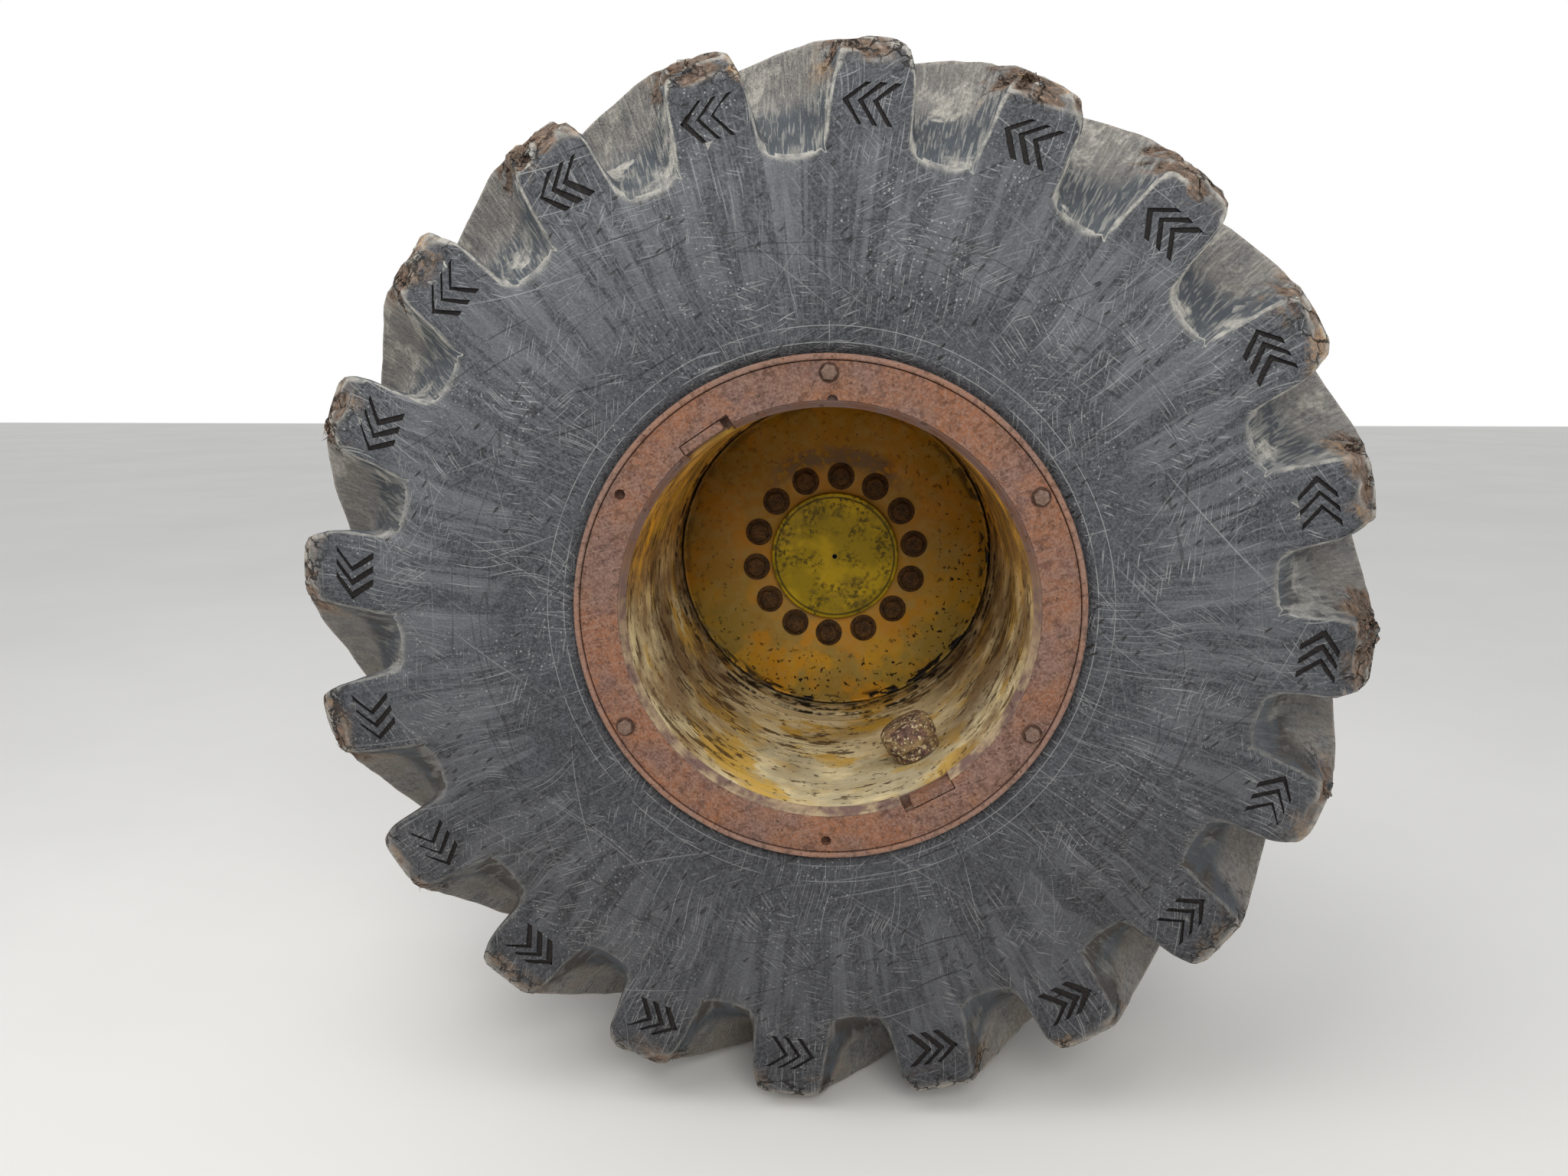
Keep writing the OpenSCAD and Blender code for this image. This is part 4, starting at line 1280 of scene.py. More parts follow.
def rubber(colours):
    """Vulcanised rubber with carbon black, moulded: dull dark grey, scuffed pale where wood and stones drag
    over the side, with dried mud in the grooves and brown where the lugs are torn. Painted shade darkens
    the lower half and the chevrons' bottoms, and painted light pales the upper grooves' mud and the
    grooves' edges."""
    material, tree, here = new_material("scuffed_tyre_rubber")
    radius, _, parts = radius_and_depth(tree)
    facing, torn, crown, tip, chevron = (
        add_node(tree, "ShaderNodeAttribute", attribute_name=name).outputs["Fac"]
        for name in ("facing", "torn", "crown", "tip", "chevron")
    )
    groove = add_node(
        tree, "ShaderNodeMapRange", {"Value": radius, "From Min": 0.742, "From Max": 0.764}
    ).outputs[0]
    inside = add_node(
        tree, "ShaderNodeMapRange", {"Value": facing, "From Min": 0.72, "From Max": 0.4}
    ).outputs[0]
    dust = product(tree, groove, inside)
    edge = product(tree, groove, band(tree, facing, 0.5, 0.84, 0.07))
    # Mottling from a hand's breadth down to the grain, 0.12 m and 4 mm
    mottle = patches(tree, here, 6.0, 0.42, 0.6, detail=3.0, seed=1.0)
    blotch = patches(tree, here, 30.0, 0.44, 0.62, detail=5.0, seed=2.0)
    grain = patches(tree, here, 230.0, 0.4, 0.62, detail=2.0, seed=3.0)
    pebble = patches(tree, here, 95.0, 0.46, 0.6, detail=3.0, seed=4.0)
    outer = band(tree, radius, 0.575, 0.80, 0.03)
    fans = product(
        tree, patches(tree, wheel_space(tree, 17.0, 2.6, 2.0), 1.0, 0.5, 0.55, detail=1.0, seed=21.0),
        outer,
    )
    thin_fans = product(
        tree, patches(tree, wheel_space(tree, 52.0, 4.0, 3.0), 1.0, 0.54, 0.6, detail=1.0, seed=25.0),
        outer,
    )
    brushed = product(
        tree, patches(tree, wheel_space(tree, 190.0, 22.0, 5.0), 1.0, 0.5, 0.62, detail=1.0, seed=28.0),
        patches(tree, here, 4.0, 0.42, 0.6, detail=2.0, seed=29.0),
    )
    colour = layered(
        tree, colours.rubber_dark, (mottle, colours.rubber_grey), (blotch, colours.rubber_grey, 0.4),
        (pebble, colours.rubber_dust, 0.22), (grain, colours.rubber_dust, 0.42),
        (fans, colours.rubber_dust, 0.4), (thin_fans, colours.rubber_dust, 0.4),
        (brushed, colours.rubber_dust, 0.4),
    )
    pale = side_scratches(tree, here)
    # Pale grit in drifts, up to 4 mm across
    drifts = patches(tree, here, 5.0, 0.5, 0.6, detail=3.0, seed=7.0)
    grit = product(tree, specks(tree, here, 0.0045, 0.14, 5.0), between(tree, drifts, 0.15))
    nicks = product(
        tree, strokes(tree, across_wheel(tree, bent(tree, 0.01, 40.0, 6.0), 40), 0.02, 0.005, 0.08, 81.0),
        patches(tree, here, 9.0, 0.54, 0.58, detail=1.0, seed=9.0),
    )
    long_cuts = strokes(tree, across_wheel(tree, bent(tree, 0.05, 5.0, 8.0), 24), 0.13, 0.003, 0.012, 91.0)
    rings = product(
        tree, hairlines(tree, wheel_space(tree, 1.6, 26.0, 1.0), 1.0, 0.012, 12.0),
        band(tree, radius, 0.585, 0.665, 0.01),
    )
    dark = greatest(tree, nicks, product(tree, long_cuts, 0.8), product(tree, rings, 0.6))
    mould = product(
        tree, mould_lines(tree, radius), patches(tree, here, 16.0, 0.36, 0.5, detail=3.0, seed=46.0)
    )
    colour = layered(
        tree, colour, (pale, colours.scratch, 0.6), (grit, colours.scratch, 0.6),
        (mould, colours.scratch, 0.65), (dark, colours.chips_and_shade, 0.85),
    )
    # Painted shade: the colour darkens towards the bottom of the wheel
    painted_shade_low = add_node(
        tree, "ShaderNodeMapRange", {"Value": parts["Z"], "From Min": 0.2, "From Max": -0.45}
    ).outputs[0]
    colour = layered(tree, colour, (painted_shade_low, colours.chips_and_shade, 0.32))
    # Dried mud, streaked the way the wood leaves the groove. Its colour runs from dark below to pale above:
    # partly dust, partly painted light on the upper grooves and painted shade on the lower ones
    high = add_node(
        tree, "ShaderNodeMapRange", {"Value": parts["Z"], "From Min": -0.35, "From Max": 0.5}
    ).outputs[0]
    streak = patches(tree, wheel_space(tree, 50.0, 6.0, 5.0), 1.0, 0.5, 0.58, detail=4.0, seed=31.0)
    fine_streak = patches(
        tree, wheel_space(tree, 200.0, 16.0, 12.0), 1.0, 0.52, 0.62, detail=1.0, seed=36.0
    )
    drift = product(tree, patches(tree, here, 10.0, 0.53, 0.58, detail=7.0, seed=32.0), high)
    crumbs = patches(tree, here, 120.0, 0.42, 0.58, detail=4.0, seed=33.0)
    bare = patches(tree, here, 8.0, 0.47, 0.53, detail=6.0, seed=37.0)
    mud = layered(
        tree, colours.mud_in_shade, (high, colours.mud_dark),
        (product(tree, streak, between(tree, high, 0.6, 0.9)), colours.mud_mid),
        (product(tree, drift, between(tree, crumbs, 0.6)), colours.mud_pale),
        (bare, colours.mud_dark, 0.8), (product(tree, fine_streak, high), colours.mud_pale, 0.4),
    )
    cover = between(tree, patches(tree, here, 18.0, 0.3, 0.55, detail=5.0, seed=38.0), 0.65)
    cap = layered(
        tree, colours.crown_dust, (streak, colours.crown_dark), (crumbs, colours.mud_pale, 0.5),
    )
    # Tan dust on the lug tips; its rise towards the top of the wheel is painted light
    tan = product(
        tree, tip, patches(tree, here, 11.0, 0.53, 0.6, detail=6.0, seed=39.0),
        between(tree, crumbs, 0.4), between(tree, high, 0.4),
    )
    # Pale edges of the grooves: partly rubber scuffed by wood, partly a painted highlight where the rounded
    # edges turn to the light, stronger on the upper half
    worn = product(
        tree, edge, between(tree, high, 0.25),
        between(tree, patches(tree, here, 55.0, 0.4, 0.6, detail=4.0, seed=34.0), 0.4),
    )
    colour = layered(
        tree, colour, (product(tree, dust, cover), mud), (product(tree, crown, cover), cap),
        (worn, colours.mud_pale, 0.8), (tan, colours.tip_tan, 0.75),
    )
    fibre = patches(tree, wheel_space(tree, 60.0, 160.0, 40.0), 1.0, 0.36, 0.62, detail=5.0, seed=35.0)
    brown = layered(tree, colours.torn_dark, (fibre, colours.torn_pale), (crumbs, colours.crown_dust, 0.4))
    frayed = add_node(
        tree, "ShaderNodeMapRange",
        {"Value": product(tree, torn, cover), "From Min": 0.14, "From Max": 0.36},
    ).outputs[0]
    split = product(
        tree, cracks(tree, here, 0.045, 0.0028, 44.0), greatest(tree, tip, frayed),
        patches(tree, here, 12.0, 0.44, 0.54, detail=2.0, seed=45.0),
    )
    # Last coats: torn brown rubber, dark splits, and the chevrons' bottoms painted near black as the shade
    # in these narrow grooves
    colour = layered(
        tree, colour, (product(tree, frayed, 0.9), brown), (split, colours.chips_and_shade, 0.9),
        (chevron, colours.chips_and_shade, 0.9),
    )
    dusty = greatest(tree, dust, crown)
    relief = added(
        tree, grain, (greatest(tree, product(tree, pale, 0.5), dark), -1.0),
        (product(tree, fibre, frayed), 4.0), (mould, 1.2), (split, -5.0),
        (product(tree, dusty, streak), 1.3),
    )
    rough = add_node(
        tree, "ShaderNodeMapRange", {"Value": mottle, "To Min": 0.6, "To Max": 0.74}
    ).outputs[0]
    surface(tree, colour, added(tree, rough, (dusty, 0.2)), relief, 0.001)
    return material


def mould_lines(tree, radius):
    """Fine raised rings near the rim, with short cross marks that the mould's vents leave."""
    here = add_node(tree, "ShaderNodeTexCoord").outputs["Object"]
    facing_y = add_node(
        tree, "ShaderNodeMapping", {"Vector": here, "Rotation": (math.pi / 2, 0, 0)}
    ).outputs[0]
    spokes = add_node(
        tree, "ShaderNodeTexGradient", {"Vector": facing_y}, gradient_type="RADIAL"
    ).outputs["Fac"]
    saw = add_node(
        tree, "ShaderNodeMath", {0: product(tree, spokes, 40.0), 1: 1.0}, operation="PINGPONG"
    ).outputs[0]
    tick = add_node(
        tree, "ShaderNodeMapRange", {"Value": saw, "From Min": 0.012, "From Max": 0.006}
    ).outputs[0]
    return greatest(
        tree,
        *(
            band(tree, radius, at - half, at + half, 0.0006)
            for at, half in ((0.462, 0.0009), (0.489, 0.0008))
        ),
        product(tree, tick, band(tree, radius, 0.455, 0.497, 0.002)),
    )


def torn_fibre(colours):
    """Torn rubber and ply fibres, dry and brown, matt all over."""
    material, tree, here = new_material("torn_rubber_fibre")
    strand = patches(tree, here, 120.0, 0.35, 0.65, seed=1.0)
    tone = patches(tree, here, 24.0, 0.4, 0.6, seed=2.0)
    dust = patches(tree, here, 70.0, 0.5, 0.62, seed=3.0)
    colour = layered(
        tree, colours.torn_dark, (tone, colours.torn_pale), (strand, colours.mud_mid, 0.4),
        (dust, colours.crown_dust, 0.6),
    )
    surface(tree, colour, 0.92, strand, 0.0008)
    return material


def rusty_steel(colours):
    """Hot-rolled steel plate, rusted brown to violet brown with orange bloom, rough and pitted."""
    material, tree, here = new_material("rusted_plate_steel")
    radius, _, _ = radius_and_depth(tree)
    cloud = patches(tree, here, 12.0, 0.42, 0.6, detail=5.0, seed=2.0)
    blotch = patches(tree, here, 60.0, 0.42, 0.6, detail=6.0, seed=7.0)
    grain = patches(tree, here, 210.0, 0.42, 0.6, detail=2.0, seed=3.0)
    bloom = product(
        tree, patches(tree, here, 8.0, 0.44, 0.58, detail=5.0, seed=1.0),
        between(tree, blotch, 0.6),
    )
    dark = patches(tree, here, 85.0, 0.54, 0.61, detail=5.0, seed=4.0)
    pits = specks(tree, here, 0.005, 0.08, 6.0)
    rubs = product(
        tree, strokes(tree, across_wheel(tree, bent(tree, 0.05, 4.0, 2.0), 20), 0.05, 0.0025, 0.12, 12.0),
        patches(tree, here, 7.0, 0.5, 0.58, detail=1.0, seed=8.0),
    )
    # The gap between the guard plate and the ring is painted near black as shade
    seam = band(tree, radius, LIP_IN * MM - 0.0016, LIP_IN * MM + 0.0002, 0.0008)
    # The rolled lip and the ring beyond it are painted paler: partly rubbed rust, partly a painted
    # highlight along the lip
    lip = add_node(
        tree, "ShaderNodeMapRange",
        {"Value": radius, "From Min": LIP_IN * MM, "From Max": LIP_IN * MM + 0.003},
    ).outputs[0]
    colour = layered(
        tree, colours.rust_brown, (cloud, colours.rust_violet, 0.8),
        (blotch, colours.rust_pale, 0.3), (bloom, colours.rust_orange, 0.75),
        (lip, colours.rust_pale, 0.45), (grain, colours.rust_pale, 0.5),
        (dark, colours.rust_dark, 0.42), (pits, colours.rust_dark, 0.5),
        (rubs, colours.rust_pale, 0.6), (seam, colours.chips_and_shade, 0.85),
    )
    surface(tree, colour, 0.82, added(tree, grain, (blotch, 1.2), (pits, -1.5)), 0.0007)
    return material


def barrel_paint(colours):
    """Yellow alkyd enamel on steel, chalked to cream, scraped round the barrel, with mud and rust on it.
    Its upper half is painted in the enamel's shaded colour and its lower half paler, as painted shade and
    light.
    """
    material, tree, here = new_material("weathered_barrel_enamel")
    radius, depth, parts = radius_and_depth(tree)
    # Painted light and shade: the lower half counts as lit and the upper half as shaded. The base runs from
    # the shaded colour above to tan below, and the cream chalk, the grey smears and the cream on the
    # mouth's bevel gather in the lit lower half
    low = add_node(
        tree, "ShaderNodeMapRange", {"Value": parts["Z"], "From Min": 0.16, "From Max": -0.16},
        interpolation_type="SMOOTHSTEP",
    ).outputs[0]
    round_it = [round_wheel(tree, bent(tree, 0.02, 9.0, 1.0), 0.36)[1], depth]
    chalk = product(
        tree, patches(tree, wheel_space(tree, 1.4, 0.0, 6.0), 1.0, 0.38, 0.5, detail=5.0, seed=1.0),
        between(tree, low, 0.15),
    )
    yellow = patches(tree, wheel_space(tree, 1.8, 0.0, 6.0), 1.0, 0.52, 0.57, detail=6.0, seed=2.0)
    grey = product(tree, patches(tree, wheel_space(tree, 1.8, 0.0, 5.0), 1.0, 0.5, 0.58, seed=8.0), low)
    # Wear gathers in a few places and leaves the rest of the paint whole
    place_worn = patches(tree, wheel_space(tree, 1.7, 0.0, 6.0), 1.0, 0.44, 0.6, detail=2.0, seed=13.0)
    ragged = add_node(
        tree, "ShaderNodeTexNoise",
        {"Vector": wheel_space(tree, 7.0, 0.0, 42.0), "Scale": 1.0, "Detail": 8.0, "Roughness": 0.62},
    ).outputs[0]
    worn_off = add_node(
        tree, "ShaderNodeMapRange",
        {
            "Value": added(tree, ragged, (between(tree, place_worn, -0.02, 0.07), 1.0)),
            "From Min": 0.59, "From Max": 0.62,
        },
    ).outputs[0]
    lines = greatest(
        tree, product(tree, strokes(tree, round_it, 0.16, 0.004, 0.26, 1.0), place_worn),
        product(tree, strokes(tree, round_it, 0.05, 0.003, 0.22, 9.0), place_worn),
        product(tree, strokes(tree, round_it, 0.2, 0.003, 0.04, 4.0), 0.8),
    )
    side = add_node(tree, "ShaderNodeMath", {0: parts["X"]}, operation="ABSOLUTE").outputs[0]
    mud = product(
        tree, patches(tree, wheel_space(tree, 3.0, 0.0, 7.0), 1.0, 0.4, 0.56, detail=6.0, seed=10.0),
        band(tree, side, 0.22, 0.5, 0.08),
    )
    spots = patches(tree, here, 60.0, 0.6, 0.65, detail=5.0, seed=5.0)
    seams = product(
        tree, band(tree, depth, 0.592, 0.608, 0.006), patches(tree, here, 30.0, 0.42, 0.56, seed=6.0)
    )
    seam_end = product(
        tree, band(tree, depth, 0.628, 0.692, 0.006), patches(tree, here, 34.0, 0.45, 0.58, seed=7.0)
    )
    colour = layered(
        tree, colours.barrel_shade, (low, colours.barrel_tan), (chalk, colours.barrel_cream),
        (yellow, colours.barrel_yellow, 0.8), (grey, colours.barrel_grey, 0.55),
        (mud, colours.barrel_mud, 0.8), (worn_off, colours.barrel_streak, 0.85),
        (lines, colours.barrel_streak, 0.85),
        (spots, colours.rust_dark, 0.75), (seams, colours.chips_and_shade), (seam_end, colours.chips_and_shade),
    )
    mouth = band(tree, depth, -0.05, 0.0225, 0.0015)
    outside = add_node(
        tree, "ShaderNodeMapRange", {"Value": radius, "From Min": 0.36, "From Max": 0.364}
    ).outputs[0]
    bare = greatest(tree, mouth, outside)
    cloud = patches(tree, here, 26.0, 0.42, 0.6, detail=6.0, seed=9.0)
    steel = layered(
        tree, colours.band_violet, (cloud, colours.rust_brown), (spots, colours.rust_dark, 0.6),
        (product(tree, cloud, low, mouth), colours.barrel_cream, 0.35),
    )
    back = add_node(
        tree, "ShaderNodeMapRange", {"Value": depth, "From Min": 0.55, "From Max": 0.6}
    ).outputs[0]
    colour = layered(tree, colour, (bare, steel), (product(tree, back, outside), colours.barrel_tan, 0.8))
    surface(tree, colour, 0.6, added(tree, chalk, (worn_off, -1.0), (lines, -1.0), (spots, -0.8)), 0.0006)
    return material


def disc_paint(colours):
    """Ochre enamel, painted darker on its upper half and its left as the rim's shade, with black chips at
    its edge and a scuffed patch over the bolts.
    """
    material, tree, here = new_material("chipped_disc_enamel")
    radius, _, parts = radius_and_depth(tree)
    # Painted light and shade: the lower part counts as lit and the upper part as in the rim's shade. The
    # base runs from the shaded colour above to ochre below, and the grey worn paint, partly real wear,
    # shows most below
    low = add_node(
        tree, "ShaderNodeMapRange", {"Value": parts["Z"], "From Min": 0.15, "From Max": -0.28},
        interpolation_type="SMOOTHSTEP",
    ).outputs[0]
    warm = patches(tree, here, 7.0, 0.44, 0.58, detail=5.0, seed=1.0)
    worn = product(
        tree, patches(tree, here, 10.0, 0.48, 0.58, detail=5.0, seed=2.0), between(tree, low, 0.25)
    )
    film = patches(tree, here, 40.0, 0.44, 0.62, detail=5.0, seed=7.0)
    # Chips gather on the right and at the bottom, towards the disc's edge
    side = add_node(
        tree, "ShaderNodeMapRange",
        {"Value": across_wheel(tree, here, -55)[0], "From Min": -0.16, "From Max": 0.2},
    ).outputs[0]
    where = between(tree, side, 0.35)
    chips = product(
        tree, patches(tree, wheel_space(tree, 7.0, 70.0, 0.0), 1.0, 0.49, 0.51, detail=7.0, seed=3.0),
        band(tree, radius, 0.333, 0.36, 0.006),
        patches(tree, here, 9.0, 0.4, 0.44, detail=2.0, seed=8.0), where,
    )
    flakes = product(
        tree, patches(tree, here, 75.0, 0.6, 0.615, detail=6.0, seed=9.0),
        band(tree, radius, 0.24, 0.36, 0.03), where,
    )
    dots = specks(tree, here, 0.005, 0.02, 4.0)
    arc = product(
        tree, band(tree, radius, 0.205, 0.248, 0.012), band(tree, parts["X"], -0.14, 0.14, 0.03),
        band(tree, parts["Z"], 0.1, 0.5, 0.03), patches(tree, here, 60.0, 0.4, 0.5, detail=6.0, seed=5.0),
    )
    colour = layered(
        tree, colours.disc_in_shade, (low, colours.disc_ochre), (warm, colours.disc_orange, 0.6),
        (worn, colours.disc_grey, 0.6), (film, colours.disc_dust, 0.3),
        (arc, colours.scuff, 0.9), (dots, colours.chips_and_shade), (flakes, colours.chips_and_shade), (chips, colours.chips_and_shade),
    )
    # A dark broken ring at the disc's edge: partly chipped paint, partly painted shade in the corner
    # against the barrel
    edge = add_node(
        tree, "ShaderNodeMapRange", {"Value": radius, "From Min": 0.3485, "From Max": 0.3515}
    ).outputs[0]
    # Painted shade: the left part of the disc is darkened, where the rim's shade falls
    painted_shade_left = add_node(
        tree, "ShaderNodeMapRange", {"Value": parts["X"], "From Min": -0.1, "From Max": -0.32}
    ).outputs[0]
    colour = layered(
        tree, colour, (product(tree, edge, patches(tree, here, 40.0, 0.35, 0.45, seed=6.0)), colours.chips_and_shade),
        (painted_shade_left, colours.chips_and_shade, 0.36),
    )
    relief = added(tree, product(tree, film, 0.4), (greatest(tree, chips, flakes), -2.0), (arc, 1.0))
    surface(tree, colour, 0.5, relief, 0.0007)
    return material


def hub_paint(colours):
    """Olive yellow enamel on the machined end of the shaft, dulled by black specks of grease and dirt."""
    material, tree, here = new_material("speckled_hub_enamel")
    radius, depth, _ = radius_and_depth(tree)
    specked = product(
        tree, patches(tree, here, 120.0, 0.48, 0.58, detail=3.0, seed=1.0),
        patches(tree, here, 14.0, 0.44, 0.54, detail=3.0, seed=2.0),
    )
    grime = patches(tree, here, 10.0, 0.52, 0.62, detail=5.0, seed=3.0)
    # The groove near the pilot's edge and the centre hole are painted dark as the shade in them
    groove = band(tree, radius, 0.1335, 0.1372, 0.0008)
    centre = add_node(
        tree, "ShaderNodeMapRange", {"Value": radius, "From Min": 0.0064, "From Max": 0.0054}
    ).outputs[0]
    colour = layered(
        tree, colours.hub_olive, (patches(tree, here, 14.0, 0.42, 0.58, seed=4.0), colours.hub_yellow),
        (specked, colours.hub_speck, 0.8), (grime, colours.hub_grime, 0.5),
        (groove, colours.hub_speck, 0.7), (centre, colours.chips_and_shade),
    )
    behind = add_node(
        tree, "ShaderNodeMapRange", {"Value": depth, "From Min": 0.69, "From Max": 0.70}
    ).outputs[0]
    cloud = patches(tree, here, 30.0, 0.36, 0.66, detail=6.0, seed=5.0)
    steel = layered(tree, colours.steel_dark, (cloud, colours.steel_grey))
    colour = layered(tree, colour, (behind, steel))
    surface(tree, colour, 0.55, specked, 0.0004)
    return material


def highlit_bolt_steel(colours):
    """Zinc-plated bolts of the guard plate, their plating gone: dry rust, painted pale as the highlight on
    their heads.
    """
    material, tree, here = new_material("rusted_bolt_steel_highlit")
    cloud = patches(tree, here, 70.0, 0.4, 0.6, detail=4.0, seed=1.0)
    pits = patches(tree, here, 240.0, 0.45, 0.6, seed=2.0)
    colour = layered(
        tree, colours.guard_bolt, (cloud, colours.rust_brown, 0.35), (pits, colours.rust_dark, 0.4)
    )
    surface(tree, colour, 0.7, added(tree, cloud, (pits, 1.0)), 0.0004)
    return material


def dark_washer_steel(colours):
    """Washers of the plate's bolts in old rust, painted dark as the shade that the heads cast."""
    material, tree, here = new_material("dark_washer_steel")
    cloud = patches(tree, here, 90.0, 0.4, 0.6, detail=4.0, seed=1.0)
    colour = layered(tree, colours.rust_dark, (cloud, colours.rust_brown, 0.5))
    surface(tree, colour, 0.8, cloud, 0.0004)
    return material


def bolt_steel(colours):
    """Forged steel bolt heads, rusted nearly black, with a little bare wear on the corners."""
    material, tree, here = new_material("dark_forged_steel")
    cloud = patches(tree, here, 60.0, 0.4, 0.6, detail=6.0, seed=1.0)
    pits = patches(tree, here, 260.0, 0.4, 0.7, seed=2.0)
    colour = layered(tree, colours.bolt_dark, (cloud, colours.bolt_brown), (pits, colours.bolt_worn, 0.35))
    surface(tree, colour, 0.7, added(tree, cloud, (pits, 1.0)), 0.0006)
    return material


def guard_paint(colours):
    """The cast valve guard: brown rust, mottled violet, with a fine speckle of the last cream enamel."""
    material, tree, here = new_material("speckled_guard_enamel")
    speckle = patches(tree, here, 130.0, 0.55, 0.6, detail=6.0, seed=1.0)
    cloud = patches(tree, here, 60.0, 0.44, 0.58, detail=6.0, seed=2.0)
    left = patches(tree, here, 30.0, 0.5, 0.58, detail=5.0, seed=3.0)
    pits = patches(tree, here, 150.0, 0.56, 0.62, detail=4.0, seed=4.0)
    colour = layered(
        tree, colours.guard_rust, (cloud, colours.guard_dark), (left, colours.barrel_tan, 0.4),
        (speckle, colours.barrel_cream, 0.75), (pits, colours.rust_dark, 0.8),
    )
    surface(tree, colour, 0.7, speckle, 0.0005)
    return material


def housing_paint(colours):
    """Yellow enamel on cast iron, under oily dirt: a pebbly cast skin with rust at its edges."""
    material, tree, here = new_material("grimy_cast_iron_enamel")
    skin = patches(tree, here, 240.0, 0.3, 0.7, detail=3.0, seed=1.0)
    dirt = patches(tree, here, 7.0, 0.36, 0.6, detail=7.0, seed=2.0)
    rust = patches(tree, here, 24.0, 0.58, 0.68, detail=6.0, seed=3.0)
    colour = layered(
        tree, colours.housing_yellow, (dirt, colours.housing_dirt, 0.85), (rust, colours.rust_brown)
    )
    surface(tree, colour, 0.68, skin, 0.0005)
    return material


def bright_steel(colours):
    """Ground bearing steel with a film of grease, the one bright metal of the part."""
    material, tree, here = new_material("greasy_ground_steel")
    film = patches(tree, here, 14.0, 0.4, 0.65, seed=1.0)
    turning = patches(tree, wheel_space(tree, 1.0, 900.0, 900.0), 1.0, 0.3, 0.7, detail=2.0, seed=2.0)
    colour = layered(tree, colours.steel_bright, (film, colours.steel_grey, 0.7))
    surface(tree, colour, 0.34, turning, 0.00005, metallic=1.0, gloss=0.5)
    return material


def dull_brass(colours):
    """Brass of the valve, dull and brown with age."""
    material, tree, here = new_material("tarnished_brass")
    tarnish = patches(tree, here, 90.0, 0.4, 0.6, seed=1.0)
    colour = layered(tree, colours.brass, (tarnish, colours.bolt_brown))
    surface(tree, colour, 0.45, tarnish, 0.0001, metallic=1.0, gloss=0.5)
    return material


# Settings


def colour(name, code, description):
    return FloatVectorProperty(
        name=name, description=description, subtype="COLOR", size=4, min=0, max=1, default=linear(code)
    )


class WheelSizes(bpy.types.PropertyGroup):
    wear: FloatProperty(
        name="Tyre wear", description="How far the tips of the lugs are torn", default=1.0, min=0, max=1.5,
        subtype="FACTOR",
    )
    fibres: IntProperty(
        name="Torn fibres", description="Number of strands that hang from the torn lugs", default=900,
        min=1, max=3000,
    )


